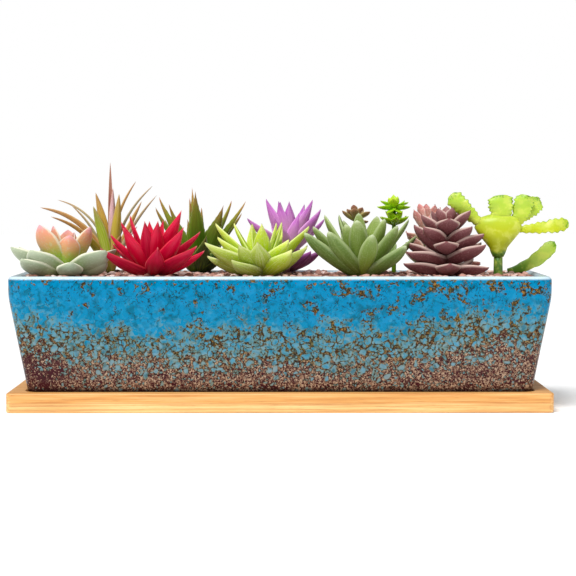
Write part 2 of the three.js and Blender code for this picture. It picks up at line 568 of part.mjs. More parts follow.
// A round plastic screen with square holes, which keeps the soil in over a drain hole.
function makeScreen() {
  const reach = Math.floor(SCREEN_RADIUS / SCREEN_PITCH);
  const holes = [];
  for (let column = -reach; column <= reach; column++) {
    for (let row = -reach; row <= reach; row++) {
      const [x, y] = [column * SCREEN_PITCH, row * SCREEN_PITCH];
      if (Math.hypot(x, y) + SCREEN_GAP > SCREEN_RADIUS) continue;
      const hole = new THREE.BoxGeometry(SCREEN_GAP, SCREEN_GAP, 4 * SCREEN_THICKNESS);
      holes.push(toSolid(hole.translate(x, y, 0)));
    }
  }
  return cutAll(upright(SCREEN_RADIUS, SCREEN_RADIUS, 0, SCREEN_THICKNESS, SCREEN_SIDES), holes);
}

function bedPlace({ along, across }) {
  const length = RIM_LENGTH - 2 * WALL;
  const width = RIM_WIDTH - 2 * WALL;
  return [(along - 0.5) * length, (across - 0.5) * width];
}

function nearPlant(x, y, distance) {
  return [...Object.values(PLANTS), SPURGE].some((plant) => {
    const [plantX, plantY] = bedPlace(plant);
    return Math.hypot(x - plantX, y - plantY) < distance;
  });
}

function plantingHoles(clearance) {
  return [...Object.values(PLANTS), SPURGE].map((plant) => {
    const [x, y] = bedPlace(plant);
    const radius = plant.stem + clearance;
    return upright(radius, radius, soilTop - ROOT_DEPTH - clearance, POT_HEIGHT, STEM_SIDES, x, y);
  });
}

function makeSoil() {
  const block = toSolid(loft(insideRings(FIT, FLOOR, soilTop)));
  const pocketRadius = SCREEN_RADIUS + FIT;
  const pocketTop = FLOOR + SCREEN_THICKNESS + FIT;
  const pockets = drainCentres().map((x) =>
    upright(pocketRadius, pocketRadius, FLOOR - CUT_PAST, pocketTop, SCREEN_SIDES, x),
  );
  return cutAll(block, [...pockets, ...plantingHoles(FIT)]);
}

// The gravel lies round the plants: it is cut back from their stems and from their lowest leaves.
function makePebbles(grownPlants) {
  const low = soilTop + FIT;
  const bed = toSolid(loft(insideRings(BED_CLEARANCE, low, low + BED_THICKNESS)));
  const length = RIM_LENGTH - 2 * WALL - 2 * STONE_RADIUS - 2 * BED_CLEARANCE;
  const width = RIM_WIDTH - 2 * WALL - 2 * STONE_RADIUS - 2 * BED_CLEARANCE;
  const columns = Math.round(length / STONE_PITCH);
  const rows = Math.round(width / STONE_PITCH);
  const stones = [];
  for (let column = 0; column <= columns; column++) {
    for (let row = 0; row <= rows; row++) {
      const seed = column * 31 + row * 7;
      const size = STONE_RADIUS * (1 - STONE_VARIATION * scatter(seed));
      const stone = new THREE.IcosahedronGeometry(size, 0);
      stone.rotateZ(scatter(seed + 1) * 2 * Math.PI);
      stone.rotateX(scatter(seed + 2) * 2 * Math.PI);
      const x = (column / columns - 0.5) * length + spread(seed + 3, STONE_DRIFT);
      const y = (row / rows - 0.5) * width + spread(seed + 4, STONE_DRIFT);
      if (nearPlant(x, y, size + CLEARING)) continue;
      stone.translate(x, y, stoneTop - size - STONE_SINK * scatter(seed + 5));
      stones.push(toSolid(stone));
    }
  }
  const spill = toSolid(loft(insideRings(BED_CLEARANCE, low, POT_HEIGHT)));
  const gravel = joinAll([bed, ...stones]).intersect(spill);
  return mainPiece(cutAll(gravel, [...plantingHoles(FIT), ...grownPlants]));
}

// How wide a leaf is at a share of its length, as a share of its greatest width.
function leafWidth(shape, share) {
  if (share < shape.widest) {
    return shape.base + (1 - shape.base) * Math.sin((Math.PI / 2) * (share / shape.widest));
  }
  return Math.cos((Math.PI / 2) * ((share - shape.widest) / (1 - shape.widest))) ** shape.tip;
}

// One leaf: a thick blade with a keel below, whose middle line is an arc that rises from the stem.
function makeLeaf(shape, leaf, grow) {
  const { bearing, rise, curl, roll, length, width, thickness, foot, x, y, z } = leaf;
  const out = [Math.cos(radians(bearing)), Math.sin(radians(bearing))];
  const along = [-out[1], out[0]];
  const arc = radians(curl) || 1e-6;
  const start = radians(rise);
  const reach = length + grow;
  const spine = (share) => {
    const angle = start + arc * share;
    const radial = foot + (reach / arc) * (Math.sin(angle) - Math.sin(start));
    const height = (-reach / arc) * (Math.cos(angle) - Math.cos(start));
    return { angle, radial, height };
  };
  const [cosRoll, sinRoll] = [Math.cos(radians(roll)), Math.sin(radians(roll))];
  const point = ({ angle, radial, height }, across, above) => {
    const side = across * cosRoll - above * sinRoll;
    const up = across * sinRoll + above * cosRoll;
    const level = radial - up * Math.sin(angle);
    return [
      x + out[0] * level + along[0] * side,
      y + out[1] * level + along[1] * side,
      z + height + up * Math.cos(angle),
    ];
  };
  const rings = LEAF_STATIONS.map((share) => {
    const at = spine(share);
    const half = (width * leafWidth(shape, share)) / 2 + grow;
    const thick = thickness * (1 - LEAF_THINNING * share);
    return [
      point(at, half, 0),
      point(at, 0, thick * (1 - KEEL) + grow),
      point(at, -half, 0),
      point(at, 0, -thick * KEEL - grow),
    ];
  });
  return toSolid(loft([...rings, [point(spine(1), 0, 0)]]));
}

// Every leaf of a plant. A row's first leaf stands as given, and those that repeat it vary a little.
function plantLeaves(plant, grow) {
  const [x, y] = bedPlace(plant);
  return plant.leaves.flatMap(({ times = 1, turn = 0, ...leaf }, row) =>
    Array.from({ length: times }, (_, place) => {
      const seed = row * 17 + place * 5;
      const vary = (offset, reach) => (place ? spread(seed + offset, reach) : 0);
      const bearing = leaf.bearing + turn * place + vary(0, BEARING_JITTER);
      return makeLeaf(
        plant.shape,
        {
          ...leaf,
          bearing,
          rise: leaf.rise + vary(1, RISE_JITTER),
          roll: leaf.roll ?? -SIDE_ROLL * Math.cos(radians(bearing)),
          length: leaf.length * (1 + vary(2, LENGTH_JITTER)),
          foot: plant.stem * LEAF_FOOT,
          x,
          y,
          z: crownZ + leaf.up,
        },
        grow,
      );
    }),
  );
}

function makeStem(plant, top) {
  const [x, y] = bedPlace(plant);
  const topRadius = plant.stem * STEM_NARROWING;
  return upright(topRadius, plant.stem, soilTop - ROOT_DEPTH, crownZ + top, STEM_SIDES, x, y);
}

function makeRosette(plant, grow) {
  const top = Math.max(...plant.leaves.map((leaf) => leaf.up)) + STEM_PAST_LEAVES;
  return joinAll([makeStem(plant, top), ...plantLeaves(plant, grow)]);
}

function makeSpurge(grow) {
  const [x, y] = bedPlace(SPURGE);
  const funnel = SPURGE.funnel.map(({ halfWidth, halfDepth, up }) =>
    Array.from({ length: 10 }, (_, side) => {
      const angle = radians(36 * side);
      return [
        x + (halfWidth + grow) * Math.cos(angle),
        y + (halfDepth + grow) * Math.sin(angle),
        crownZ + up,
      ];
    }),
  );
  const arms = SPURGE.arms.map((arm) =>
    makeLeaf(SPURGE.shape, { ...arm, foot: 0, x: x + arm.side, y, z: crownZ + arm.up }, grow),
  );
  return joinAll([makeStem(SPURGE, SPURGE.trunkTop), toSolid(loft(funnel)), ...arms]);
}

// The largest connected piece, once a neighbour's leaves have been cut out of a plant.
function mainPiece(solid) {
  return solid.decompose().reduce((best, piece) => (piece.volume() > best.volume() ? piece : best));
}

function makePlants() {
  const makers = {
    crested_spurge: makeSpurge,
    ...Object.fromEntries(
      Object.entries(PLANTS).map(([name, plant]) => [name, (grow) => makeRosette(plant, grow)]),
    ),
  };
  const grown = [];
  const solids = Object.entries(makers).map(([name, make]) => {
    const solid = mainPiece(cutAll(make(0), grown));
    grown.push(make(LEAF_GAP));
    return [name, solid];
  });
  return { solids, grown };
}

const looks = {
  bamboo: { color: 0xe2b06a, roughness: 0.55 },
  glaze: { color: 0x1f8fc4, roughness: 0.15 },
  screen: { color: 0x2b2b2b, roughness: 0.7 },
  soil: { color: 0x3a2a20, roughness: 0.95 },
  pebbles: { color: 0xc9a594, roughness: 0.8 },
  sage_echeveria: { color: 0x93a673, roughness: 0.6 },
  red_agave: { color: 0xc4123a, roughness: 0.5 },
  lime_echeveria: { color: 0xb3c63c, roughness: 0.55 },
  green_finger: { color: 0x6f9145, roughness: 0.6 },
  mauve_pinecone: { color: 0x87505a, roughness: 0.6 },
  purple_echeveria: { color: 0xb46dbd, roughness: 0.55 },
  dark_aloe: { color: 0x4d6b35, roughness: 0.55 },
  spiky_airplant: { color: 0xa08c35, roughness: 0.6 },
  bronze_rosette: { color: 0x9b8254, roughness: 0.6 },
  lime_sedum: { color: 0x93d02a, roughness: 0.55 },
  blush_rosette: { color: 0xb79a86, roughness: 0.6 },
  crested_spurge: { color: 0xa9c22c, roughness: 0.5 },
  spurge_offshoot: { color: 0xb9cf57, roughness: 0.5 },
};

function named(name, geometry, look) {
  const material = new THREE.MeshStandardMaterial({ ...looks[look], metalness: 0 });
  const mesh = new THREE.Mesh(geometry, material);
  mesh.name = name;
  return mesh;
}

const planter = new THREE.Group();
planter.add(named("bamboo_tray", toGeometry(makeTray()), "bamboo"));

const pot = new THREE.Group();
pot.position.z = potFootZ;
pot.add(named("ceramic_pot", toGeometry(makePot()), "glaze"));
const sides = ["left", "middle", "right"];
drainCentres().forEach((x, place) => {
  const screen = named(`drain_screen_${sides[place]}`, toGeometry(makeScreen()), "screen");
  screen.position.set(x, 0, FLOOR);
  pot.add(screen);
});

const planting = new THREE.Group();
const plants = makePlants();
planting.add(named("potting_soil", toGeometry(makeSoil()), "soil"));
planting.add(named("pebble_bed", toGeometry(makePebbles(plants.grown)), "pebbles"));
plants.solids.forEach(([name, solid]) => planting.add(named(name, toGeometry(solid), name)));
pot.add(planting);
planter.add(pot);

export default planter;
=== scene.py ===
"""A glazed planter on its bamboo tray, filled with gravel and succulents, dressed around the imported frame."""
import math
import random
from collections import namedtuple

import bmesh
import bpy
from mathutils import Matrix, Vector, noise


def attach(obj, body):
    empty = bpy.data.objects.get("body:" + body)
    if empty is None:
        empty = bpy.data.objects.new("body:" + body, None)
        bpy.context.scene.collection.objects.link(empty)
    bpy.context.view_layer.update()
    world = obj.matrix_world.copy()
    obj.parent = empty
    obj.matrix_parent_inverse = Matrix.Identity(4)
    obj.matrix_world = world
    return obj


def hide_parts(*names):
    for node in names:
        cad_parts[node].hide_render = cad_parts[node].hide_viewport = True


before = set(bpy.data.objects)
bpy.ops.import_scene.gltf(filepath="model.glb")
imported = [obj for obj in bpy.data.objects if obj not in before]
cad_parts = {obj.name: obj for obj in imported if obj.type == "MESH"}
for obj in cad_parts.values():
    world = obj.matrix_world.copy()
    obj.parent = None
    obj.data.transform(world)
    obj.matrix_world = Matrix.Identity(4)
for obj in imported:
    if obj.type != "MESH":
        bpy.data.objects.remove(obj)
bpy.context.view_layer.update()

MM = 0.001  # one millimetre in Blender's metres. Every other size here is in millimetres.

# Tray and pot
TRAY_LENGTH = 293.5
TRAY_WIDTH = 85.5
TRAY_THICKNESS = 10.5
TRAY_CORNER = 3
TRAY_EDGE = 0.8  # the rounding of its edges
RECESS_CLEARANCE = 1.5  # between the pot's foot and the side of the tray's recess
RECESS_EDGE = 0.4
STRIP_WIDTH = 14.3
RIM_LENGTH = 292
RIM_WIDTH = 84
POT_HEIGHT = 64
POT_FOOT = 9  # the height of the pot's foot above the floor
WALL = 5
FLOOR = 6  # of the pot
TAPER = 9.4  # how far the wall leans in below its upright band
RIM_CORNER = 8
BASE_CORNER = 7
BASE_EDGE = 2.5  # the rounding between the wall and the foot
COLLAR = 11  # the height of the band at the top of the wall
KNEE = 4  # how far below and above the band's foot the wall bends
INNER_FILLET = 6
FOOT_WIDTH = 8
FOOT_HEIGHT = 1.5
LEAST_CORNER = 2  # the smallest radius of a corner inside the pot
CORNER_STEPS = 8
CREASE = 40  # faces that meet at more degrees than this keep a sharp edge
DRAIN_RADIUS = 5
DRAIN_SPACING = 84
CUT_PAST = 1  # how far a cutter reaches past the face it cuts

# Planting
FIT = 0.3  # the gap between the soil and the pot
SCREEN_THICKNESS = 0.8
SOIL_BELOW_RIM = 6
SOIL_LUMPS = 0.5
SOIL_ROWS = 16
SOIL_CUTS = 40
LONG_EDGE = 20  # the soil's edges that are longer than this are cut up
CROWN_ABOVE_RIM = 0.5
ROOT_DEPTH = 18
STEM_THINNING = 0.8

# Gravel
STONE_PITCH = 4.5
STONE_ROW = 0.87  # how much closer the rows lie than the stones in a row
STONE_SIZE = (1.7, 3.4)  # the least and the largest half length
STONE_HEIGHT = 0.75  # half its height, as a share of its half length
STONE_BY_STEM = 0.6  # how far it keeps off a stem, as the same share
STONE_STRAY = 1  # how far a stone lies off its place in the row
STONE_TOP = 1.1  # how far the tops of the highest stones come above the rim
STONE_SINK = 1.8  # how much lower than that a stone may lie
STONE_DENT = 0.28
LAYER_DEPTH = 2.6  # how much lower the second layer lies

base_length = RIM_LENGTH - 2 * TAPER
base_width = RIM_WIDTH - 2 * TAPER
knee_z = POT_HEIGHT - COLLAR  # the foot of the wall's upright band
lip_middle = POT_HEIGHT - WALL / 2
rim_z = POT_FOOT + POT_HEIGHT
crown_z = rim_z + CROWN_ABOVE_RIM
soil_z = rim_z - SOIL_BELOW_RIM

# How wide a leaf's base is, where along it the leaf is widest, and how blunt its tip is.
Shape = namedtuple("Shape", "base widest tip")
SPOON = Shape(0.5, 0.62, 0.8)
LANCE = Shape(0.62, 0.4, 1.15)
BLADE = Shape(0.9, 0.15, 1.3)
FINGER = Shape(0.62, 0.55, 0.6)
BOAT = Shape(0.5, 0.5, 0.95)
PADDLE = Shape(0.4, 0.8, 0.4)
STRAP = Shape(0.7, 0.4, 0.85)

# A leaf, or with times some leaves each turned further, with the same meanings as in the part's source.
# The tone, from 0 to 1, sets a leaf's colour where chance doesn't. A plant's rows give the values in
# this order, and name roll and tone where they have them.
Leaf = namedtuple("Leaf", "bearing rise curl length width thickness up times turn roll tone",
                  defaults=(1, 0, None, None))

# A leaf's section: how far the upper face is hollowed and the margins are raised, how sharp the keel is.
Section = namedtuple("Section", "hollow fold keel teeth", defaults=(0,))

# A plant: where it stands along and across the bed, from 0 to 1, its stem's radius and its leaves.
Plant = namedtuple("Plant", "along across stem shape section leaves")

PLANTS = {}
PLANTS["sage_echeveria"] = Plant(0.085, 0.33, 3.2, SPOON, Section(0.22, 0.16, 0.35), [
    (282, -6, 44, 27, 14.5, 5.5, 0),
    (222, -6, 46, 31, 16, 5.5, 0),
    (330, -6, 44, 27, 15, 5.5, 0),
    (193, 10, 32, 33, 17, 5.5, 0.5),
    (163, 12, 30, 31, 15, 5, 0.5),
    (20, 10, 30, 30, 15, 5, 0.5, 4, 36),
    (233, 6, 36, 30, 17.5, 5.5, 1.5),
    (316, 4, 34, 34, 17.5, 5.5, 1.5),
    (219, 42, 28, 29, 15, 5, 3),
    (350, 50, 24, 26, 13, 4.5, 3),
    (40, 48, 22, 25, 13, 4.5, 3, 3, 52),
    (285, 48, 32, 20, 13, 5, 3.5),
    (190, 64, 22, 23, 11, 4, 4),
    (40, 70, 18, 19, 10, 4, 4),
])
PLANTS["red_agave"] = Plant(0.252, 0.3, 3.2, LANCE, Section(0.15, 0.1, 0.55), [
    (215, 10, 30, 35, 11, 5, 0),
    (280, 18, 24, 31, 10.5, 5, 0),
    (335, 10, 26, 34, 9, 5, 0),
    (318, 14, 22, 37, 11.5, 5, 0.5),
    (60, 22, 18, 32, 10, 4.5, 0.5, 3, 42),
    (185, 34, 20, 30, 8.5, 4.5, 1),
    (220, 44, 18, 30, 11, 5, 1.5),
    (348, 32, 16, 34, 9, 4.5, 1.5),
    (305, 30, 16, 40, 10, 4.5, 1.5),
    (283, 50, 12, 33, 10, 4.5, 2),
    (195, 52, 14, 31, 10, 4.5, 2),
    (320, 52, 10, 38, 10, 4.5, 3),
    (262, 50, 10, 32, 9, 4, 3),
    (170, 64, 10, 31, 8.5, 4, 3),
    (60, 66, 8, 28, 9, 4, 3, 2, 45),
])
PLANTS["lime_echeveria"] = Plant(0.465, 0.3, 3.2, LANCE, Section(0.2, 0.14, 0.55), [
    (185, 4, 30, 31, 13, 6, 0),
    (230, 4, 30, 26, 13, 5.5, 0),
    (310, 16, 26, 28, 14, 5.5, 0.5),
    (345, 20, 24, 29, 13, 5.5, 0),
    (30, 16, 26, 32, 13, 5, 0, 4, 41),
    (204, 16, 22, 37, 16, 6, 1),
    (180, 30, 18, 30, 13, 5.5, 1.5),
    (240, 22, 20, 28, 13, 5, 2),
    (320, 34, 20, 25, 13, 5, 2),
    (10, 36, 16, 35, 13, 5.5, 2),
    (170, 38, 16, 36, 13.5, 5, 2),
    (60, 40, 18, 32, 12, 4.5, 2, 2, 45),
    (265, 20, 26, 29, 13, 5, 2.5),
    (150, 50, 12, 30, 11.5, 4.5, 3),
    (35, 60, 10, 28, 11, 4.5, 3),
    (270, 58, 8, 27, 10, 4, 4),
    (20, 70, 8, 25, 9, 4, 4, 2, 110),
])
PLANTS["green_finger"] = Plant(0.659, 0.32, 3.2, FINGER, Section(0.05, 0, 0.15), [
    (205, 24, 20, 41, 11, 6, 0),
    (320, 18, 22, 33, 11, 6, 0),
    (10, 24, 22, 36, 11, 5.5, 0),
    (50, 14, 28, 34, 11, 5.5, 0, 3, 40),
    (185, 34, 20, 36, 10.5, 5.5, 1),
    (230, 30, 16, 36, 10.5, 6, 1.5),
    (280, 32, 16, 32, 10, 6, 1.5),
    (330, 44, 12, 32, 9.5, 5.5, 2),
    (15, 40, 14, 38, 9.5, 5, 2),
    (170, 50, 14, 36, 10.5, 5, 2),
    (70, 40, 18, 37, 10, 5, 2, 2, 40),
    (225, 60, 8, 27, 9.5, 5, 3),
    (150, 62, 8, 32, 9.5, 5, 3),
    (330, 62, 6, 30, 9, 5, 3),
    (260, 50, 8, 33, 11, 5.5, 3),
    (65, 50, 6, 34, 11, 5, 4),
    (100, 72, 8, 30, 9, 5, 4),
])
PLANTS["mauve_pinecone"] = Plant(0.823, 0.32, 3.4, BOAT, Section(0.3, 0.12, 0.3), [
    (195, 0, 18, 24, 12, 6, 2),
    (340, -4, 16, 23, 12, 6, 2),
    (270, 2, 18, 23, 14.5, 6.5, 2),
    (45, 6, 18, 23, 12, 6, 2, 3, 48),
    (205, 0, 20, 24, 13, 6, 8),
    (330, 10, 20, 24, 13, 6, 8),
    (20, 14, 20, 22, 12, 6, 8, 4, 49),
    (190, 28, 22, 22, 13, 6, 13),
    (265, 2, 20, 20, 14, 6, 14),
    (350, 12, 20, 21, 12.5, 6, 14),
    (60, 20, 20, 21, 12, 6, 14, 2, 60),
    (220, 16, 20, 18, 11, 5.5, 18),
    (325, 18, 20, 17, 11, 5.5, 18),
    (185, 32, 20, 17, 11, 5, 21),
    (270, 14, 20, 16, 13.5, 5.5, 24),
    (350, 34, 16, 16, 10.5, 5, 24),
    (50, 34, 18, 17, 10, 5, 23, 2, 70),
    (205, 60, 14, 9.5, 8.5, 4, 27),
    (320, 68, 14, 9.5, 8.5, 4, 27),
    (85, 56, 14, 11, 8, 4, 27),
])
PLANTS["purple_echeveria"] = Plant(0.518, 0.76, 2.8, LANCE, Section(0.15, 0.1, 0.5), [
    (320, 18, 30, 18, 12, 4, 2),
    (345, 16, 28, 21, 10, 4, 2),
    (235, 14, 28, 22, 11, 4, 2),
    (75, 14, 28, 24, 11, 4, 2, 3, 55),
    (195, 26, 20, 29, 9.5, 5, 13),
    (345, 44, 16, 28, 10.5, 5, 13),
    (310, 60, 20, 21, 10, 5, 13),
    (20, 30, 18, 26, 9.5, 5, 13, 3, 50),
    (235, 44, 16, 22, 8.5, 5, 13),
    (205, 58, 10, 29, 9, 5, 15),
    (330, 56, 10, 29, 8.5, 5, 15),
    (230, 66, 10, 25, 8, 5, 16),
    (270, 74, 8, 24, 8, 4, 16),
    (50, 56, 8, 25, 8, 4, 16),
    (130, 70, 8, 24, 8, 4, 16),
])
PLANTS["dark_aloe"] = Plant(0.334, 0.76, 3, BLADE, Section(0.25, 0.2, 0.3, 12), [
    Leaf(320, 56, 12, 40, 13, 4.5, 2, roll=-45),
    Leaf(325, 24, 20, 27, 12, 4.5, 1, roll=-30),
    (200, 58, 8, 45, 9, 4, 2),
    (180, 52, 10, 41, 9, 4, 1.5),
    (215, 60, 8, 40, 9, 4, 2),
    (10, 60, 8, 42, 8, 4, 2),
    (340, 50, 6, 47, 6.5, 3.5, 2),
    (0, 48, 8, 39, 6, 3.5, 2),
    (60, 44, 14, 33, 10, 4, 2, 3, 45),
    (245, 30, 16, 32, 11, 4, 1, 2, 40),
    (330, 84, 6, 32, 8, 3.5, 4),
    (100, 62, 4, 48, 8, 3.5, 4),
    (270, 60, 4, 46, 11, 4, 4.5),
    (120, 76, 4, 38, 8, 3.5, 4),
])
PLANTS["spiky_airplant"] = Plant(0.16, 0.78, 2.8, STRAP, Section(0.2, 0.3, 0.2), [
    Leaf(190, 78, -70, 56, 5.5, 2.6, 0, tone=0.35),
    Leaf(205, 70, -56, 48, 4, 2.4, 0, tone=0.4),
    Leaf(165, 94, -84, 55, 2.4, 2, 0.5, tone=0.15),
    Leaf(180, 80, -40, 44, 2.2, 2, 0.5, tone=0.1),
    Leaf(10, 88, -48, 54, 2.2, 2, 1, tone=0.05),
    Leaf(330, 66, -24, 52, 2.2, 2, 1, tone=0.1),
    Leaf(350, 70, -8, 42, 4.5, 2.6, 1, tone=0.45),
    Leaf(20, 96, -44, 52, 3.4, 2.4, 2, tone=0.4),
    Leaf(240, 50, -20, 38, 6, 2.8, 0, tone=0.6),
    (60, 58, -28, 36, 5, 2.6, 0, 3, 40),
    Leaf(290, 52, -16, 30, 6, 2.8, 0, tone=0.45),
    Leaf(225, 76, -8, 37, 7.5, 3, 1.5, tone=0.75),
    Leaf(200, 84, -8, 43, 7, 3, 2, roll=40, tone=0.55),
    Leaf(320, 78, 8, 42, 6.5, 3, 2, tone=0.6),
    Leaf(300, 86, 2, 44, 5, 2.6, 3, tone=0.9),
    Leaf(95, 74, 8, 60, 3, 2.4, 3, tone=1),
])
PLANTS["bronze_rosette"] = Plant(0.652, 0.82, 1.4, SPOON, Section(0.2, 0.15, 0.3), [
    (190, 20, 30, 9, 4, 2, 29),
    (325, -12, 26, 8, 4.5, 2.2, 28),
    (350, 12, 24, 8.5, 5.5, 2.2, 30),
    (215, 28, 20, 6, 5, 2.2, 31),
    (60, 20, 26, 9.5, 5, 2.2, 30, 2, 65),
    (260, 30, 26, 8, 5, 2.2, 30),
    (330, 38, 14, 5.5, 4, 2, 32),
    (150, 80, 14, 4.5, 4, 2, 32),
    (245, 56, 16, 6, 4, 2, 32),
])
PLANTS["lime_sedum"] = Plant(0.729, 0.82, 1.4, LANCE, Section(0.2, 0.1, 0.4), [
    (215, 12, 24, 9.5, 5.5, 2.2, 27, 6, 60),
    (240, 44, 16, 8, 5, 2, 28, 4, 90),
    (190, -10, 24, 9.5, 5.5, 2.2, 36),
    (350, -10, 24, 9, 5.5, 2.2, 36),
    (240, -30, 20, 8, 5.5, 2.2, 35.5),
    (300, -30, 20, 7.5, 5.5, 2.2, 35.5),
    (45, 12, 24, 9.5, 5.5, 2.2, 36, 3, 45),
    (170, 16, 16, 8, 5, 2, 36.5),
    (15, 8, 16, 8.5, 5, 2, 36.5),
    (210, 50, 10, 5.5, 5, 2, 37),
    (330, 66, 10, 5.5, 5, 2, 37),
    (260, 34, 12, 7.5, 6, 2.2, 36.5),
    (90, 50, 12, 7.5, 5, 2, 37),
])
PLANTS["blush_rosette"] = Plant(0.8, 0.8, 2.2, SPOON, Section(0.2, 0.15, 0.3), [
    (340, 0, 10, 29, 9, 3.4, 2),
    (200, 48, 16, 18, 8, 3.4, 5),
    (225, 48, 16, 12, 8, 3.4, 3),
    (75, 14, 24, 20, 9, 3.4, 3, 2, 60),
    (190, 24, 24, 16, 8, 3.2, 13, 4, 90),
    (195, 52, 16, 17, 6, 2.6, 20),
    (185, 62, 16, 15, 7, 2.8, 24),
    (220, 74, 16, 13, 7, 2.8, 25),
    (325, 70, 16, 13, 7, 2.8, 25),
    (350, 60, 16, 14, 7, 2.6, 23),
    (60, 40, 16, 12, 7, 3, 23, 2, 70),
    (270, 44, 16, 9, 7, 3, 24),
])
PLANTS["spurge_offshoot"] = Plant(0.95, 0.66, 2, PADDLE, Section(0, 0, 0.1), [
    Leaf(355, 10, 46, 32, 8, 3.4, 0, roll=80),
])

SPURGE = Plant(0.925, 0.36, 3, PADDLE, Section(0, 0, 0.1), [])

TRUNK_TOP = 11
SPURGE_HEIGHT = 42
SPURGE_TOP = 32.6
SPURGE_COLUMNS = 24

# The funnel's sections: half its width, half its depth and the height above the crown.
SPURGE_FUNNEL = [(3, 3, 9), (5, 4, 14), (9.5, 5.5, 19.5), (13.2, 5.5, 25), (10.5, 4.5, 30.5)]

# The spurge's arms: where each starts beside and above the crown, and its run.
Arm = namedtuple("Arm", "bearing side up rise curl roll length width thickness")
SPURGE_ARMS = [
    Arm(180, -9, 26.5, 40, 8, 80, 24, 9.5, 3.4),
    Arm(0, 11, 24, 3, 8, 76, 28, 7.5, 3.2),
    Arm(180, 2, 26, 88, -4, 90, 17, 14, 4.5),
    Arm(0, 9.5, 26, 67, 8, 84, 18, 11, 4),
    Arm(22, 12, 29, 38, 12, 80, 17, 9, 3.6),
]

# What all leaves share. A share is of the leaf's thickness, its length or its stem's radius.
SIDE_ROLL = 25  # how far the leaves at the sides turn their upper face to the front, in degrees
LEAF_COLUMNS = 14
LEAF_ROWS = 16
LEAF_FOOT = 0.4  # where a leaf starts, as a share of the stem's radius
KEEL_SHARE = 0.75  # how much of the thickness lies below the leaf's middle
LEAF_THINNING = 0.6  # how much thinner the tip is than the base
TIP_ROUNDING = 0.22  # how much of the length rounds off
TOOTH = 0.8
INNERMOST_RISE = 75  # a leaf that rises this steeply is in the inner ring

# What each point of a leaf tells its skin: where it lies along and across the leaf, whether it faces up,
# the leaf's own tint and how far in the leaf stands.
LEAF_READINGS = ("along", "side", "upper", "tint", "level")
STEM_READINGS = (0, 0, 0.5, 0.5, 0)

# Light and camera
AMBIENT = 0.3  # how brightly the backdrop lights the planter, while it shows at full strength
FLOOR_SIZE = 4000
CAMERA_PLACE = (0, -1042, 118.5)
CAMERA_LENS = 117.4
CAMERA_SENSOR = 36
CAMERA_DOWN = 2.95  # in degrees
CAMERA_RIGHT = 0.24


# Numbers

def scatter(n):
    """The same steady number from 0 to 1 that varies the leaves in the part's source."""
    wave = math.sin(n * 12.9898) * 43758.5453
    return wave - math.floor(wave)


def spread(n, reach):
    return reach * (2 * scatter(n) - 1)


def lerp(start, end, share):
    return start + (end - start) * share


# Materials

def paint(red, green, blue):
    """A screen colour from 0 to 255 as the linear colour that a shader takes."""
    def linear(value):
        value = value / 255
        return value / 12.92 if value <= 0.04045 else ((value + 0.055) / 1.055) ** 2.4
    return (linear(red), linear(green), linear(blue), 1)


class Reading:
    """A number, colour or place that a look's nodes work out. What is made of it is a node as well."""

    def __init__(self, look, socket):
        self.look = look
        self.socket = socket

    def __add__(self, other):
        return self.look.maths("ADD", self, other)

    def __radd__(self, other):
        return self.look.maths("ADD", other, self)

    def __sub__(self, other):
        return self.look.maths("SUBTRACT", self, other)

    def __rsub__(self, other):
        return self.look.maths("SUBTRACT", other, self)

    def __mul__(self, other):
        return self.look.maths("MULTIPLY", self, other)

    def __abs__(self):
        return self.look.maths("ABSOLUTE", self)

    def step(self, low, high):
        """0 below low and 1 above high, or the other way round where low is the larger."""
        inputs = {"Value": self, "From Min": low, "From Max": high}
        return self.look.add("MapRange", inputs, interpolation_type="SMOOTHSTEP")

    def between(self, low, high, first, last):
        """Runs evenly from first to last as the number goes from low to high, and stays there."""
        inputs = {"Value": self, "From Min": low, "From Max": high, "To Min": first, "To Max": last}
        return self.look.add("MapRange", inputs)

    def ramp(self, stops):
        """A colour that runs through the stops, each a place from 0 to 1 and red, green and blue."""
        node = self.look.node("ValToRGB", {0: self})
        elements = node.color_ramp.elements
        while len(elements) < len(stops):
            elements.new(0.5)
        for element, (position, *colour) in zip(elements, stops):
            element.position = position
            element.color = paint(*colour)
        return Reading(self.look, node.outputs["Color"])

    def dim(self, share):
        inputs = {0: 1.0, 6: self, 7: (share, share, share, 1)}
        return self.look.add("Mix", inputs, 2, data_type="RGBA", blend_type="MULTIPLY")

    def cloud(self, size, detail=2.0):
        """Soft noise from 0 to 1 at a place."""
        return self.look.add("TexNoise", {"Vector": self, "Scale": 1 / size, "Detail": detail})

    def drift(self, size, reach, detail=2.0):
        """Noise that wanders about zero."""
        return (self.cloud(size, detail) - 0.5) * reach

    def warp(self, size, reach):
        """A place pushed about by soft noise."""
        push = self.look.add("TexNoise", {"Vector": self, "Scale": 1 / size, "Detail": 2.0}, "Color")
        inputs = {0: push, 1: (reach, reach, reach), 2: self}
        return self.look.add("VectorMath", inputs, operation="MULTIPLY_ADD")

    def cells(self, size, *outputs, feature="F1"):
        """A net of cells: how far a point lies from its cell's middle, or from its edge."""
        return self.look.add("TexVoronoi", {"Vector": self, "Scale": 1 / size}, *outputs, feature=feature)


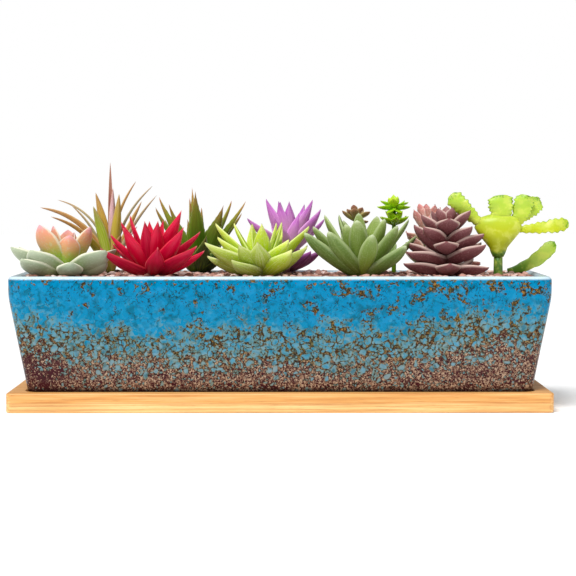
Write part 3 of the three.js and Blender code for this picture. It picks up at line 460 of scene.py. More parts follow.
class Look:
    """A material whose nodes are added one call at a time."""

    def __init__(self, name, roughness, settings=None):
        self.material = bpy.data.materials.new(name)
        self.material.use_nodes = True
        self.tree = self.material.node_tree
        self.shader = self.tree.nodes["Principled BSDF"]
        self.shader.inputs["Roughness"].default_value = roughness
        for socket, value in (settings or {}).items():
            self.shader.inputs[socket].default_value = value

    def node(self, kind, inputs, **settings):
        node = self.tree.nodes.new("ShaderNode" + kind)
        for setting, value in settings.items():
            setattr(node, setting, value)
        for socket, value in inputs.items():
            if isinstance(value, Reading):
                self.tree.links.new(value.socket, node.inputs[socket])
            else:
                node.inputs[socket].default_value = value
        return node

    def add(self, kind, inputs, *outputs, **settings):
        """Adds a node and reads the outputs named, or the first one."""
        node = self.node(kind, inputs, **settings)
        readings = [Reading(self, node.outputs[output]) for output in outputs or [0]]
        return readings if len(readings) > 1 else readings[0]

    def feed(self, socket, reading):
        self.tree.links.new(reading.socket, self.shader.inputs[socket])

    def maths(self, operation, first, second=0.0):
        return self.add("Math", {0: first, 1: second}, operation=operation)

    def blend(self, share, first, second):
        """The second colour over the first. A colour is a reading, or red, green and blue from 0 to 255."""
        colours = [colour if isinstance(colour, Reading) else paint(*colour) for colour in (first, second)]
        return self.add("Mix", {0: share, 6: colours[0], 7: colours[1]}, 2, data_type="RGBA")

    def place(self, stretch=(1, 1, 1)):
        """Where a point lies in its piece, in millimetres."""
        coordinates = self.add("TexCoord", {}, "Object")
        scale = [share / MM for share in stretch]
        return self.add("Mapping", {"Vector": coordinates, "Scale": scale})

    def reading(self, name):
        return self.add("Attribute", {}, "Fac", attribute_name=name)

    def bump(self, height, depth, strength=1.0):
        inputs = {"Height": height, "Distance": depth * MM, "Strength": strength}
        self.feed("Normal", self.add("Bump", inputs))


# Glaze

def glaze_cells(look, place, size):
    """How far in from a cell's edge, how far from its middle, and two chances for each cell."""
    edge = place.cells(size, feature="DISTANCE_TO_EDGE")
    middle, colour = place.cells(size, "Distance", "Color")
    luck, second = look.add("SeparateColor", {0: colour}, 0, 1)
    return edge * size, middle * size, luck, second


def blue_level(look, place, along, up):
    """How thick the blue lies, from the foot up: less towards the ends, and uneven."""
    level = (up - POT_FOOT) * (1 / POT_HEIGHT) - 0.03
    level = level - along.step(-95, -145) * 0.12 - along.step(50, 140) * 0.17
    for size, weight in ((34, 0.36), (9, 0.36), (2.6, 0.18)):
        level = level + place.drift(size, weight)
    return level


def flake_depth(look, place, crooked, level, whole, missing):
    """How far inside a round flake a point lies: whole above, parted lower down, loose at the foot."""
    uneven = place.drift(3, 0.5, 1)
    flakes = []
    for size, low_share, high_share in ((3.8, 0.4, 1.0), (2.0, 0.6, 1.4)):
        edge, middle, luck, second = glaze_cells(look, crooked, size)
        cover = missing(level.between(0.06, 0.4, low_share, high_share))
        gap = 0.05 - whole * 2 + uneven
        radius = (0.38 + second * 0.22) * size * level.between(0.05, 0.3, 0.62, 1)
        radius = radius + (whole * 9 + level.step(0.25, 0.5) * 0.3)
        depth = look.maths("MINIMUM", edge - gap, radius - middle)
        flakes.append(look.maths("MINIMUM", depth, (cover - luck) * 6))
    return look.maths("MAXIMUM", *flakes), second


def flake_blue(look, crooked, level, luck, depth, high):
    """Blue that greys towards the foot, mottled and milky, with an olive fringe on each flake."""
    blues = [
        (0.0, 130, 146, 152), (0.26, 112, 146, 158), (0.44, 72, 138, 162), (0.58, 4, 128, 170),
        (0.8, 0, 124, 170),
    ]
    blue = (level + (luck - 0.5) * 0.24).ramp(blues)
    mottled = crooked.cloud(3.4, 5).step(0.46, 0.66)
    blue = look.blend(mottled * 0.7, blue, (0, 88, 108))
    milky = crooked.cloud(5.5, 3).step(0.5, 0.35)
    blue = look.blend(milky * 0.22, blue, (50, 156, 208))
    fringe = depth.step(0.6, 0.1) * (high * -0.4 + 0.6)
    return look.blend(fringe, blue, (110, 124, 96))


def speckled_ground(look, place, level, plain):
    """Crawling specks that turn from ochre to beige as the ground darkens towards the foot."""
    crawl = abs(place.warp(2, 1.5).cloud(1.15, 1) - 0.5)
    richness = 0.038 + place.drift(6, 0.14, 3) - plain * 0.03
    speckles = crawl.step(richness + 0.02, richness - 0.02)
    dot = place.warp(1.5, 1.2).cells(1.3) + plain * 0.1
    speckles = look.maths("MAXIMUM", speckles, dot.step(0.44, 0.32))
    earthy = level.step(0.16, 0.4)
    fine = place.cloud(1.6, 2).step(0.4, 0.6)
    beige = look.blend(fine, (138, 106, 86), (180, 156, 132))
    ochre = look.blend(fine, (96, 98, 62), (142, 104, 48))
    dark = look.blend(earthy, (62, 22, 30), (56, 34, 16))
    return look.blend(speckles, dark, look.blend(earthy, beige, ochre))


def reactive_glaze():
    """Clear blue that parts into dark-edged flakes, and towards the foot into speckled aubergine."""
    look = Look("reactive_glaze", 0.08, {"Specular IOR Level": 0.1})
    place = look.place()
    along, up = look.add("SeparateXYZ", {0: place}, "X", "Z")
    level = blue_level(look, place, along, up)
    high = level.step(0.5, 0.7)

    # The blue breaks in clusters, more of them to the right, and at the rim. The left corner is plain.
    crowded = along.step(-80, 90) * 0.07
    clusters = (place.warp(5, 5).cloud(8, 4) + crowded).step(0.51, 0.63)
    plain = along.step(-98, -128) * level.step(0.36, 0.16)
    rim_breaks = place.cloud(2.2, 2).step(0.55, 0.62) * up.step(rim_z - 7, rim_z - 4)
    crooked = place.warp(7, 6).warp(1.6, 1.3)
    depth, luck = flake_depth(look, place, crooked, level, high * (1 - clusters),
                              lambda cover: cover - clusters * high * 0.6 - rim_breaks - plain * 0.4)
    ground = speckled_ground(look, place, level, plain)
    flake = depth.step(-0.08, 0.1)
    body = look.blend(flake, ground, flake_blue(look, crooked, level, luck, depth, high))

    # A dark, broken line round each flake, stray dark veins and pinholes in the clear blue.
    line = abs(depth).step(0.26, 0.06) * place.cloud(1.3, 2).step(0.4, 0.56)
    body = look.blend(line * 0.9, body, (36, 24, 12))
    net = crooked.cells(3.2, feature="DISTANCE_TO_EDGE") * 3.2
    broken = place.cloud(5, 3).step(0.44, 0.54) * place.cloud(1.1, 1).step(0.42, 0.55)
    body = look.blend(net.step(0.26, 0.1) * broken * high * 0.8, body, (16, 44, 36))
    middle, chance = glaze_cells(look, place.warp(2, 2.5), 1.8)[1:3]
    hole = middle.step(0.5, 0.2) * chance.step(0.72, 0.76)
    body = look.blend(hole * high * 0.85, body, (40, 34, 20))

    # A thin pale lip, partly a painted highlight; a dark foot, partly dark glaze and partly painted shade; and
    # bare clay where the pot stands.
    # Painted shade in part: the dark band above the foot is dark glaze and also the shade where the pot sits on
    # the tray.
    foot = (up + place.drift(3, 3)).step(POT_FOOT + 5, POT_FOOT + 1.5)
    body = look.blend(foot * 0.8, body, (24, 12, 11))
    # Painted highlight in part: the near-white band on the lip is thin glaze over the edge and a painted
    # reflection of the light above.
    body = look.blend(up.step(rim_z - 2.2, rim_z - 0.8) * 0.9, body, (206, 226, 236))
    clay = up.step(POT_FOOT + 0.5, POT_FOOT + 0.2)
    look.feed("Base Color", look.blend(clay, body, (150, 100, 76)))
    look.feed("Roughness", clay.between(0, 1, 0.08, 0.8))
    look.bump(flake + place.cloud(14, 1), 0.1, 0.3)
    return look.material


# Tray, bed and screens

def strip_bamboo():
    """Two plies of pressed bamboo strips with the grain lengthwise and a glue line between."""
    look = Look("strip_bamboo", 0.42, {"IOR": 1.45})
    across, up = look.add("SeparateXYZ", {0: look.place()}, "Y", "Z")
    grain = look.place((0.02, 1, 1)).cloud(0.9, 4)
    broad = look.place((0.012, 1, 1)).cloud(4.5, 2)
    fibre = look.place((0.05, 1, 1)).cloud(0.35, 2)
    middle = TRAY_THICKNESS / 2
    ply = look.blend(up.step(middle - 0.3, middle + 0.3), (236, 192, 128), (222, 158, 86))
    streaks = grain.ramp([(0.34, 176, 108, 48), (0.5, 228, 172, 100), (0.64, 250, 208, 144)])
    body = look.blend(0.6, ply, streaks)
    body = look.blend(broad.step(0.4, 0.65), body, look.blend(0.35, body, (214, 150, 84)))
    body = look.blend(fibre.step(0.56, 0.7) * 0.35, body, (170, 110, 60))
    body = look.blend(abs(up - middle).step(0.3, 0.05) * 0.5, body, (186, 120, 66))
    strip = abs(look.maths("FRACT", look.maths("DIVIDE", across, STRIP_WIDTH)) - 0.5)
    joint = strip.step(0.49, 0.497) * up.step(TRAY_THICKNESS - 2, TRAY_THICKNESS - 1)
    look.feed("Base Color", look.blend(joint * 0.4, body, (150, 96, 56)))
    look.bump(grain, 0.1, 0.25)
    return look.material


def gravel_stone():
    """Washed gravel, each stone with its own tint."""
    look = Look("gravel_stone", 0.7)
    tints = [
        (0.0, 92, 54, 44), (0.2, 146, 98, 82), (0.45, 198, 146, 130), (0.7, 226, 184, 172),
        (1.0, 240, 218, 212),
    ]
    body = look.reading("tint").ramp(tints)
    grains = look.place().cloud(0.9, 4)
    dusty = look.blend(0.4, body, (120, 84, 70))
    look.feed("Base Color", look.blend(grains.step(0.4, 0.7), body, dusty))
    look.bump(grains, 0.25, 0.5)
    return look.material


def potting_mix():
    """Dark coir and bark with paler fibres and grit."""
    look = Look("potting_mix", 0.95)
    place = look.place()
    lumps = place.cloud(3.2, 6)
    body = lumps.ramp([(0.3, 28, 19, 13), (0.5, 58, 40, 28), (0.7, 96, 70, 50)])
    fibre = place.warp(4, 6).cells(2.2, feature="DISTANCE_TO_EDGE")
    body = look.blend(fibre.step(0.06, 0.02), body, (132, 98, 66))
    grit = place.cells(4.1).step(0.16, 0.1)
    look.feed("Base Color", look.blend(grit * 0.8, body, (188, 176, 160)))
    look.bump(lumps, 1.2, 0.9)
    return look.material


def moulded_mesh():
    """Dark matt plastic of the drain screens."""
    look = Look("moulded_mesh", 0.6)
    place = look.place()
    look.feed("Base Color", place.cloud(3, 3).ramp([(0.3, 34, 35, 36), (0.7, 52, 53, 54)]))
    look.bump(place.cloud(0.4, 2), 0.05, 0.3)
    return look.material


# Leaves

def leaf_lines(look, width):
    """Fine lines along a leaf, other ones on each leaf."""
    inputs = {0: look.reading("side") * 5, 1: look.reading("along"), 2: look.reading("tint") * 40}
    return look.add("CombineXYZ", inputs).cloud(width, 3)


def leaf_skin(name, outer, inner, turn=(0.3, 0.7), margin=None, mottle=None, streak=None, tip=None,
              under=None, settings=None, roughness=0.5, vary=0.18):
    """A leaf coloured along its length, from the outer ring's colours to the inner ring's.

    Turn says where between the rings the colours change, and vary how much darker some leaves are. The
    margin, mottle, streak, tip and underside each take a colour, then where they start or how coarse
    they are, and how strongly they show.
    """
    look = Look(name, roughness, {"Specular IOR Level": 0.28, **(settings or {})})
    place = look.place()
    along = look.reading("along")
    tint = look.reading("tint")
    ripple = along + place.drift(3.5, 0.25, 3)
    ring = (look.reading("level") + (tint - 0.5) * 0.3).step(*turn)
    body = look.blend(ring, ripple.ramp(outer), ripple.ramp(inner))
    body = look.blend(tint, body.dim(1 - vary), body)
    if under:
        colour, strength = under
        body = look.blend(look.reading("upper").step(0.55, 0.35) * strength, body, colour)
    if streak:
        colour, strength = streak
        body = look.blend(leaf_lines(look, 0.55).step(0.48, 0.66) * strength, body, colour)
    if mottle:
        colour, size, strength = mottle
        body = look.blend(place.cloud(size, 3).step(0.52, 0.68) * strength, body, colour)
    if margin:
        colour, start, strength = margin
        body = look.blend(abs(look.reading("side")).step(start, 1.0) * strength, body, colour)
    if tip:
        colour, start = tip
        body = look.blend(along.step(start, 1.0), body, colour)
    # Painted shade: every leaf is darkened towards its base, where the leaves crowd and shade one another.
    look.feed("Base Color", look.blend(along.step(0.34, 0.02) * 0.4, body, body.dim(0.4)))
    look.bump(place.cloud(1.1, 3), 0.12, 0.5)
    return look.material


def sage_skin():
    outer = [(0.0, 120, 150, 60), (0.3, 150, 172, 110), (0.6, 168, 184, 142), (1.0, 186, 196, 168)]
    inner = [
        (0.0, 140, 186, 30), (0.35, 170, 196, 70), (0.62, 222, 170, 110), (0.85, 226, 150, 120),
        (1.0, 226, 160, 168),
    ]
    return leaf_skin("sage_skin", outer, inner, turn=(0.42, 0.62), margin=((240, 238, 214), 0.82, 0.8),
                     mottle=((206, 210, 188), 1.2, 0.3), settings={"Sheen Weight": 0.2})


def crimson_skin():
    outer = [(0.0, 116, 6, 20), (0.3, 204, 0, 44), (0.7, 234, 0, 62), (1.0, 206, 0, 56)]
    inner = [(0.0, 130, 30, 30), (0.35, 214, 0, 46), (0.75, 240, 4, 62), (1.0, 190, 40, 60)]
    return leaf_skin("crimson_skin", outer, inner, margin=((226, 80, 84), 0.9, 0.5), roughness=0.34,
                     streak=((244, 40, 90), 0.25), under=((176, 0, 48), 0.5), vary=0.42,
                     tip=((206, 104, 104), 0.93))


def lime_skin():
    outer = [(0.0, 140, 156, 48), (0.4, 162, 184, 54), (0.8, 186, 206, 82), (1.0, 212, 220, 144)]
    inner = [(0.0, 176, 200, 4), (0.4, 194, 222, 14), (0.8, 208, 230, 56), (1.0, 226, 230, 140)]
    return leaf_skin("lime_skin", outer, inner, turn=(0.08, 0.5), streak=((226, 230, 176), 0.32),
                     margin=((228, 232, 172), 0.8, 0.5), tip=((130, 96, 60), 0.965),
                     mottle=((232, 234, 196), 0.9, 0.25))


def finger_skin():
    outer = [(0.0, 90, 116, 30), (0.4, 104, 132, 52), (0.85, 112, 140, 68), (1.0, 150, 168, 112)]
    inner = [(0.0, 128, 156, 30), (0.4, 132, 156, 54), (0.85, 134, 156, 76), (1.0, 166, 180, 122)]
    return leaf_skin("finger_skin", outer, inner, mottle=((190, 204, 150), 0.7, 0.26),
                     margin=((182, 196, 146), 0.66, 0.5), tip=((184, 196, 156), 0.92),
                     streak=((150, 172, 96), 0.4))


def mauve_skin():
    outer = [(0.0, 92, 48, 44), (0.5, 134, 80, 82), (1.0, 156, 104, 104)]
    inner = [(0.0, 140, 88, 74), (0.5, 150, 94, 92), (1.0, 172, 124, 124)]
    return leaf_skin("mauve_skin", outer, inner, margin=((222, 196, 184), 0.8, 0.75),
                     mottle=((196, 150, 146), 0.8, 0.22), tip=((110, 50, 50), 0.97),
                     under=((96, 44, 50), 0.5))


def orchid_skin():
    outer = [(0.0, 96, 40, 70), (0.4, 140, 66, 136), (1.0, 176, 84, 172)]
    inner = [(0.0, 236, 206, 214), (0.35, 222, 160, 212), (0.75, 206, 116, 208), (1.0, 160, 76, 160)]
    return leaf_skin("orchid_skin", outer, inner, turn=(0.1, 0.3), margin=((232, 184, 228), 0.86, 0.45),
                     streak=((234, 180, 228), 0.4))


def aloe_skin():
    outer = [(0.0, 60, 84, 30), (0.4, 52, 84, 38), (0.8, 62, 92, 46), (1.0, 96, 84, 46)]
    inner = [(0.0, 118, 166, 16), (0.4, 98, 146, 28), (0.72, 136, 142, 46), (1.0, 184, 104, 66)]
    return leaf_skin("aloe_skin", outer, inner, turn=(0.25, 0.75), streak=((140, 176, 50), 0.35),
                     margin=((170, 180, 84), 0.88, 0.5), roughness=0.42, vary=0.35)


def airplant_skin():
    """Each blade takes the colour of its own tone, from grey arcs to the maroon spear."""
    look = Look("airplant_skin", 0.5, {"Specular IOR Level": 0.28})
    along = look.reading("along")
    tones = [
        (0.0, 158, 156, 130), (0.2, 176, 160, 116), (0.35, 196, 138, 70), (0.55, 196, 158, 50),
        (0.75, 160, 186, 40), (0.9, 222, 178, 190), (1.0, 146, 78, 76),
    ]
    body = look.reading("tint").ramp(tones)
    body = look.blend(along.step(0.35, 0.0), body, (150, 164, 60))
    body = look.blend(along.step(0.6, 1.0) * 0.6, body, (150, 96, 84))
    lines = leaf_lines(look, 0.6)
    body = look.blend(lines.step(0.45, 0.65) * 0.4, body, (214, 196, 140))
    edge = abs(look.reading("side")).step(0.8, 1.0)
    look.feed("Base Color", look.blend(edge * 0.5, body, (214, 180, 130)))
    look.bump(lines, 0.1, 0.4)
    return look.material


def bronze_skin():
    outer = [(0.0, 150, 160, 60), (0.5, 160, 146, 84), (1.0, 160, 110, 84)]
    inner = [(0.0, 150, 150, 80), (0.5, 168, 130, 90), (1.0, 140, 84, 70)]
    return leaf_skin("bronze_skin", outer, inner, margin=((206, 180, 130), 0.8, 0.5))


def bright_lime_skin():
    outer = [(0.0, 120, 170, 10), (0.5, 156, 208, 16), (1.0, 176, 216, 40)]
    inner = [(0.0, 160, 210, 10), (0.5, 190, 228, 24), (1.0, 204, 232, 60)]
    return leaf_skin("bright_lime_skin", outer, inner,
                     settings={"Subsurface Weight": 0.15, "Subsurface Scale": 0.002})


def blush_skin():
    outer = [(0.0, 110, 150, 50), (0.45, 150, 160, 90), (0.8, 196, 140, 120), (1.0, 206, 120, 120)]
    inner = [(0.0, 150, 160, 90), (0.4, 200, 150, 130), (1.0, 212, 130, 130)]
    return leaf_skin("blush_skin", outer, inner, margin=((238, 204, 192), 0.78, 0.7),
                     mottle=((240, 214, 202), 1.2, 0.4))


def frilly_flesh(name, runs, reading):
    """Translucent flesh, mottled yellow-green, with darker dots along the frilled edges.

    The colours run along what the reading gives.
    """
    look = Look(name, 0.36, {
        "Specular IOR Level": 0.35, "Subsurface Weight": 0.35, "Subsurface Scale": 0.003,
        "Subsurface Radius": (1.0, 1.0, 0.25),
    })
    place = look.place()
    along = look.reading("along")
    body = reading(look, place).ramp(runs)
    blotches = place.warp(6, 6).cloud(4.5, 4).step(0.46, 0.66)
    body = look.blend(blotches * 0.45, body, (216, 220, 100))
    side_edge = abs(look.reading("side")).step(0.8, 0.97)
    edge = look.maths("MAXIMUM", side_edge, along.step(0.84, 0.97))
    dots = place.cells(1.2).step(0.55, 0.3)
    rim = edge * along.step(0.42, 0.55) * (dots * 0.6 + 0.25)
    look.feed("Base Color", look.blend(rim, body, (84, 140, 24)))
    look.bump(place.cloud(1.6, 3), 0.15, 0.4)
    return look.material


def spurge_skin():
    """Yellow-green above a dark green trunk."""
    def height(look, place):
        up = look.add("SeparateXYZ", {0: place}, "Z")
        return (up + place.drift(5, 4, 3)).between(crown_z, crown_z + SPURGE_HEIGHT, 0, 1)

    runs = [
        (0.0, 74, 112, 36), (0.26, 82, 122, 38), (0.31, 160, 166, 18), (0.55, 186, 194, 18),
        (0.75, 178, 200, 60), (1.0, 172, 204, 70),
    ]
    return frilly_flesh("spurge_skin", runs, height)


def offshoot_skin():
    runs = [
        (0.0, 60, 110, 24), (0.3, 104, 150, 30), (0.5, 176, 200, 84), (0.9, 180, 204, 80),
        (1.0, 110, 160, 40),
    ]
    return frilly_flesh("offshoot_skin", runs, lambda look, place: look.reading("along"))


# Meshes

def new_tube(columns, rows, place, layers=()):
    """A closed skin of quads: place(column, row) gives each point and the values for the layers."""
    mesh = bmesh.new()
    readings = [mesh.verts.layers.float.new(name) for name in layers]
    bmesh.ops.create_grid(mesh, x_segments=columns, y_segments=rows, size=1)
    for vertex in mesh.verts:
        column = round((vertex.co.x + 1) / 2 * columns)
        row = round((vertex.co.y + 1) / 2 * rows)
        point, values = place(column % columns, row)
        vertex.co = point
        for reading, value in zip(readings, values):
            vertex[reading] = value
    bmesh.ops.remove_doubles(mesh, verts=mesh.verts, dist=1e-4)
    return mesh


def closed(mesh):
    """Fills the open ends and turns the faces outwards."""
    bmesh.ops.holes_fill(mesh, edges=mesh.edges, sides=0)
    bmesh.ops.recalc_face_normals(mesh, faces=mesh.faces)
    return mesh


def join(whole, part):
    """Adds one bmesh to another and frees it."""
    copy = bpy.data.meshes.new("copy")
    part.to_mesh(copy)
    part.free()
    whole.from_mesh(copy)
    bpy.data.meshes.remove(copy)


def to_object(name, mesh, material):
    bmesh.ops.scale(mesh, vec=(MM, MM, MM), verts=mesh.verts)
    for face in mesh.faces:
        face.smooth = True
    data = bpy.data.meshes.new(name)
    mesh.to_mesh(data)
    mesh.free()
    if material:
        data.materials.append(material)
    piece = bpy.data.objects.new(name, data)
    bpy.context.scene.collection.objects.link(piece)
    return piece


def fit_in(piece, body, slot, *nodes):
    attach(piece, body)
    if nodes:
        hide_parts(*nodes)
    return piece


def ring_points(length, width, corner, z, steps=CORNER_STEPS):
    """A level ring of a rectangle with round corners."""
    points = []
    for turn, (side_x, side_y) in enumerate(((1, 1), (-1, 1), (-1, -1), (1, -1))):
        middle = Vector((side_x * (length / 2 - corner), side_y * (width / 2 - corner), z))
        for step in range(steps + 1):
            angle = math.radians(90 * (turn + step / steps))
            points.append(middle + corner * Vector((math.cos(angle), math.sin(angle), 0)))
    return points


def rings_tube(rings):
    columns = len(rings[0])
    return new_tube(columns, len(rings) - 1, lambda column, row: (rings[row][column], ()))


def bend(start, control, end, steps=6):
    """Points of a quadratic curve, after its start."""
    points = []
    for step in range(1, steps + 1):
        share = step / steps
        left = Vector(start).lerp(control, share)
        right = Vector(control).lerp(end, share)
        points.append(left.lerp(right, share))
    return points


# Pot and tray

def lean_in(z):
    return TAPER * (1 - z / knee_z)


def wall_ring(inset, z, depth):
    corner = max(lerp(BASE_CORNER, RIM_CORNER, z / POT_HEIGHT) - depth, LEAST_CORNER)
    return ring_points(RIM_LENGTH - 2 * inset, RIM_WIDTH - 2 * inset, corner, z + POT_FOOT)


def wall_profile(inner):
    """Insets and heights of the wall's outer or inner face, from the bottom up."""
    inset = WALL if inner else 0
    turn = [Vector((inset + lean_in(knee_z - KNEE), knee_z - KNEE))]
    turn += bend(turn[0], (inset, knee_z), (inset, knee_z + KNEE)) + [Vector((inset, lip_middle))]
    if inner:
        start = (WALL + lean_in(FLOOR) + INNER_FILLET, FLOOR)
        top = FLOOR + INNER_FILLET
        foot = [Vector(start)] + bend(start, (WALL + lean_in(FLOOR), FLOOR), (WALL + lean_in(top), top))
    else:
        start = (lean_in(0) + BASE_EDGE, 0)
        foot = [Vector(start)] + bend(start, (lean_in(0), 0), (lean_in(BASE_EDGE), BASE_EDGE))
    return foot + turn


def lip_profile(steps=8):
    points = []
    for step in range(1, steps):
        angle = math.pi * (1 - step / steps)
        points.append(Vector((WALL / 2 * (1 + math.cos(angle)), lip_middle + WALL / 2 * math.sin(angle))))
    return points


def cut_away(piece, cutter):
    """Takes a cutter out of a piece for good."""
    cut = piece.modifiers.new("cut", "BOOLEAN")
    cut.object = cutter
    cut.solver = "EXACT"
    settled = bpy.context.evaluated_depsgraph_get()
    finished = bpy.data.meshes.new_from_object(piece.evaluated_get(settled))
    piece.modifiers.clear()
    piece.data = finished
    bpy.data.objects.remove(cutter)


def make_pot():
    outside = [wall_ring(point.x, point.y, 0) for point in wall_profile(inner=False)]
    lip = [wall_ring(point.x, point.y, point.x) for point in lip_profile()]
    inside = [wall_ring(point.x, point.y, WALL) for point in reversed(wall_profile(inner=True))]
    pot = to_object("glazed_pot", closed(rings_tube(outside + lip + inside)), reactive_glaze())
    length = base_length - 2 * FOOT_WIDTH
    width = base_width - 2 * FOOT_WIDTH
    levels = (POT_FOOT - CUT_PAST, POT_FOOT + FOOT_HEIGHT)
    hollow = rings_tube([ring_points(length, width, BASE_CORNER, z) for z in levels])
    cut_away(pot, to_object("foot_hollow", closed(hollow), None))
    for x in (-DRAIN_SPACING, 0, DRAIN_SPACING):
        drill = bmesh.new()
        middle = Matrix.Translation((x, 0, POT_FOOT + FLOOR / 2))
        bmesh.ops.create_cone(drill, cap_ends=True, segments=32, radius1=DRAIN_RADIUS, radius2=DRAIN_RADIUS,
                              depth=FLOOR + 2 * CUT_PAST, matrix=middle)
        cut_away(pot, to_object("drain_drill", drill, None))
    pot.data.shade_smooth()
    pot.data.set_sharp_from_angle(angle=math.radians(CREASE))
    return fit_in(pot, "pot", "glaze", "ceramic_pot")


def make_tray():
    angles = [math.radians(angle) for angle in (0, 30, 60, 90)]
    edge = [(TRAY_EDGE * (1 - math.sin(angle)), TRAY_EDGE * (1 - math.cos(angle))) for angle in angles]
    board = edge + [(inset, TRAY_THICKNESS - z) for inset, z in reversed(edge)]
    rings = []
    for inset, z in board:
        rings.append(ring_points(TRAY_LENGTH - 2 * inset, TRAY_WIDTH - 2 * inset, TRAY_CORNER, z))
    length = base_length + 2 * RECESS_CLEARANCE
    width = base_width + 2 * RECESS_CLEARANCE
    corner = BASE_CORNER + RECESS_CLEARANCE
    for grow, z in ((RECESS_EDGE, TRAY_THICKNESS), (0, TRAY_THICKNESS - RECESS_EDGE), (0, POT_FOOT)):
        rings.append(ring_points(length + 2 * grow, width + 2 * grow, corner + grow, z))
    tray = to_object("strip_tray", closed(rings_tube(rings)), strip_bamboo())
    tray.data.set_sharp_from_angle(angle=math.radians(CREASE))
    return fit_in(tray, "tray", "bamboo", "bamboo_tray")


# Planting bed

def inner_inset(z):
    """How far the inner wall stands in at a height above the pot's foot."""
    profile = wall_profile(inner=True)
    for low, high in zip(profile, profile[1:]):
        if low.y <= z <= high.y:
            return lerp(low.x, high.x, (z - low.y) / max(high.y - low.y, 1e-6))
    return profile[-1].x


def make_soil():
    bottom = FLOOR + SCREEN_THICKNESS + FIT
    top = POT_HEIGHT - SOIL_BELOW_RIM
    heights = [lerp(bottom, top, row / SOIL_ROWS) for row in range(SOIL_ROWS + 1)]
    insets = [(inner_inset(z) + FIT, z) for z in heights]
    rings = [wall_ring(inset, z, WALL + FIT) for inset, z in insets]
    block = closed(rings_tube(rings))
    long_edges = [edge for edge in block.edges if edge.calc_length() > LONG_EDGE]
    bmesh.ops.subdivide_edges(block, edges=long_edges, cuts=SOIL_CUTS, use_grid_fill=True)
    for vertex in block.verts:
        lump = SOIL_LUMPS * (noise.fractal(vertex.co * 0.25, 1, 2, 3) - 0.6)
        inward = Vector((-vertex.co.x / RIM_LENGTH, -vertex.co.y / RIM_WIDTH, 0)).normalized()
        vertex.co -= inward * min(lump, 0)
    bmesh.ops.triangulate(block, faces=[face for face in block.faces if len(face.verts) > 4])
    return fit_in(to_object("root_soil", block, potting_mix()), "planting", "potting_mix", "potting_soil")


def bed_place(plant):
    x = (plant.along - 0.5) * (RIM_LENGTH - 2 * WALL)
    y = (plant.across - 0.5) * (RIM_WIDTH - 2 * WALL)
    return Vector((x, y, crown_z))


def stone_template():
    stone = bmesh.new()
    bmesh.ops.create_cube(stone, size=2)
    bmesh.ops.subdivide_edges(stone, edges=stone.edges, cuts=1, use_grid_fill=True)
    for vertex in stone.verts:
        vertex.co.normalize()
    template = bpy.data.meshes.new("stone_template")
    stone.to_mesh(template)
    stone.free()
    return template


def add_stone(bed, template, tint, middle, size, draw):
    """One stone: a ball squashed, turned and dented by noise."""
    before = len(bed.verts)
    bed.from_mesh(template)
    bed.verts.ensure_lookup_table()
    squash = Matrix.Diagonal((size, size * draw.uniform(0.7, 0.95), size * draw.uniform(0.5, 0.8)))
    turn = Matrix.Rotation(draw.uniform(0, math.tau), 3, "Z")
    turn = turn @ Matrix.Rotation(draw.uniform(-0.5, 0.5), 3, "X")
    dent = Vector((draw.uniform(0, 99), draw.uniform(0, 99), draw.uniform(0, 99)))
    shade = draw.random()
    for vertex in bed.verts[before:]:
        bulge = 1 + STONE_DENT * noise.noise(vertex.co * 1.4 + dent)
        vertex.co = middle + turn @ (squash @ (vertex.co * bulge))
        vertex[tint] = shade


def make_gravel():
    draw = random.Random(7)
    bed = bmesh.new()
    tint = bed.verts.layers.float.new("tint")
    template = stone_template()
    stems = [(bed_place(plant), plant.stem) for plant in [*PLANTS.values(), SPURGE]]
    half_length = RIM_LENGTH / 2 - WALL - FIT
    half_width = RIM_WIDTH / 2 - WALL - FIT
    columns = int(2 * half_length / STONE_PITCH)
    rows = int(2 * half_width / (STONE_PITCH * STONE_ROW))
    for depth in (1, 0):
        for column in range(columns + 1):
            for row in range(rows + 1):
                size = draw.uniform(*STONE_SIZE)
                x = (2 * (column + 0.5 * ((row + depth) % 2)) / columns - 1) * half_length
                x += draw.uniform(-STONE_STRAY, STONE_STRAY)
                y = (2 * row / rows - 1) * half_width + draw.uniform(-STONE_STRAY, STONE_STRAY)
                z = rim_z + STONE_TOP - size * STONE_HEIGHT - draw.uniform(0, STONE_SINK)
                z -= LAYER_DEPTH * depth
                if abs(x) > half_length - size or abs(y) > half_width - size:
                    continue
                keep_off = STONE_BY_STEM * size
                if any(math.hypot(x - place.x, y - place.y) < stem + keep_off for place, stem in stems):
                    continue
                add_stone(bed, template, tint, Vector((x, y, max(z, soil_z + 1))), size, draw)
    bpy.data.meshes.remove(template)
    return fit_in(to_object("loose_gravel", bed, gravel_stone()), "planting", "pebbles", "pebble_bed")


# Plants

def leaf_width(shape, share):
    if share < shape.widest:
        return shape.base + (1 - shape.base) * math.sin(math.pi / 2 * share / shape.widest)
    fall = math.cos(math.pi / 2 * (share - shape.widest) / (1 - shape.widest))
    return max(fall, 0) ** shape.tip


def tip_rounding(share):
    """How much of its thickness a leaf keeps where its end rounds off."""
    past = max(share - (1 - TIP_ROUNDING), 0) / TIP_ROUNDING
    return math.sqrt(max(1 - past * past, 0))


# A leaf as it grows on its plant, with its own tint and how far in it stands, from 0 to 1.
Grown = namedtuple("Grown", "foot bearing rise curl roll length width thickness out tint level")


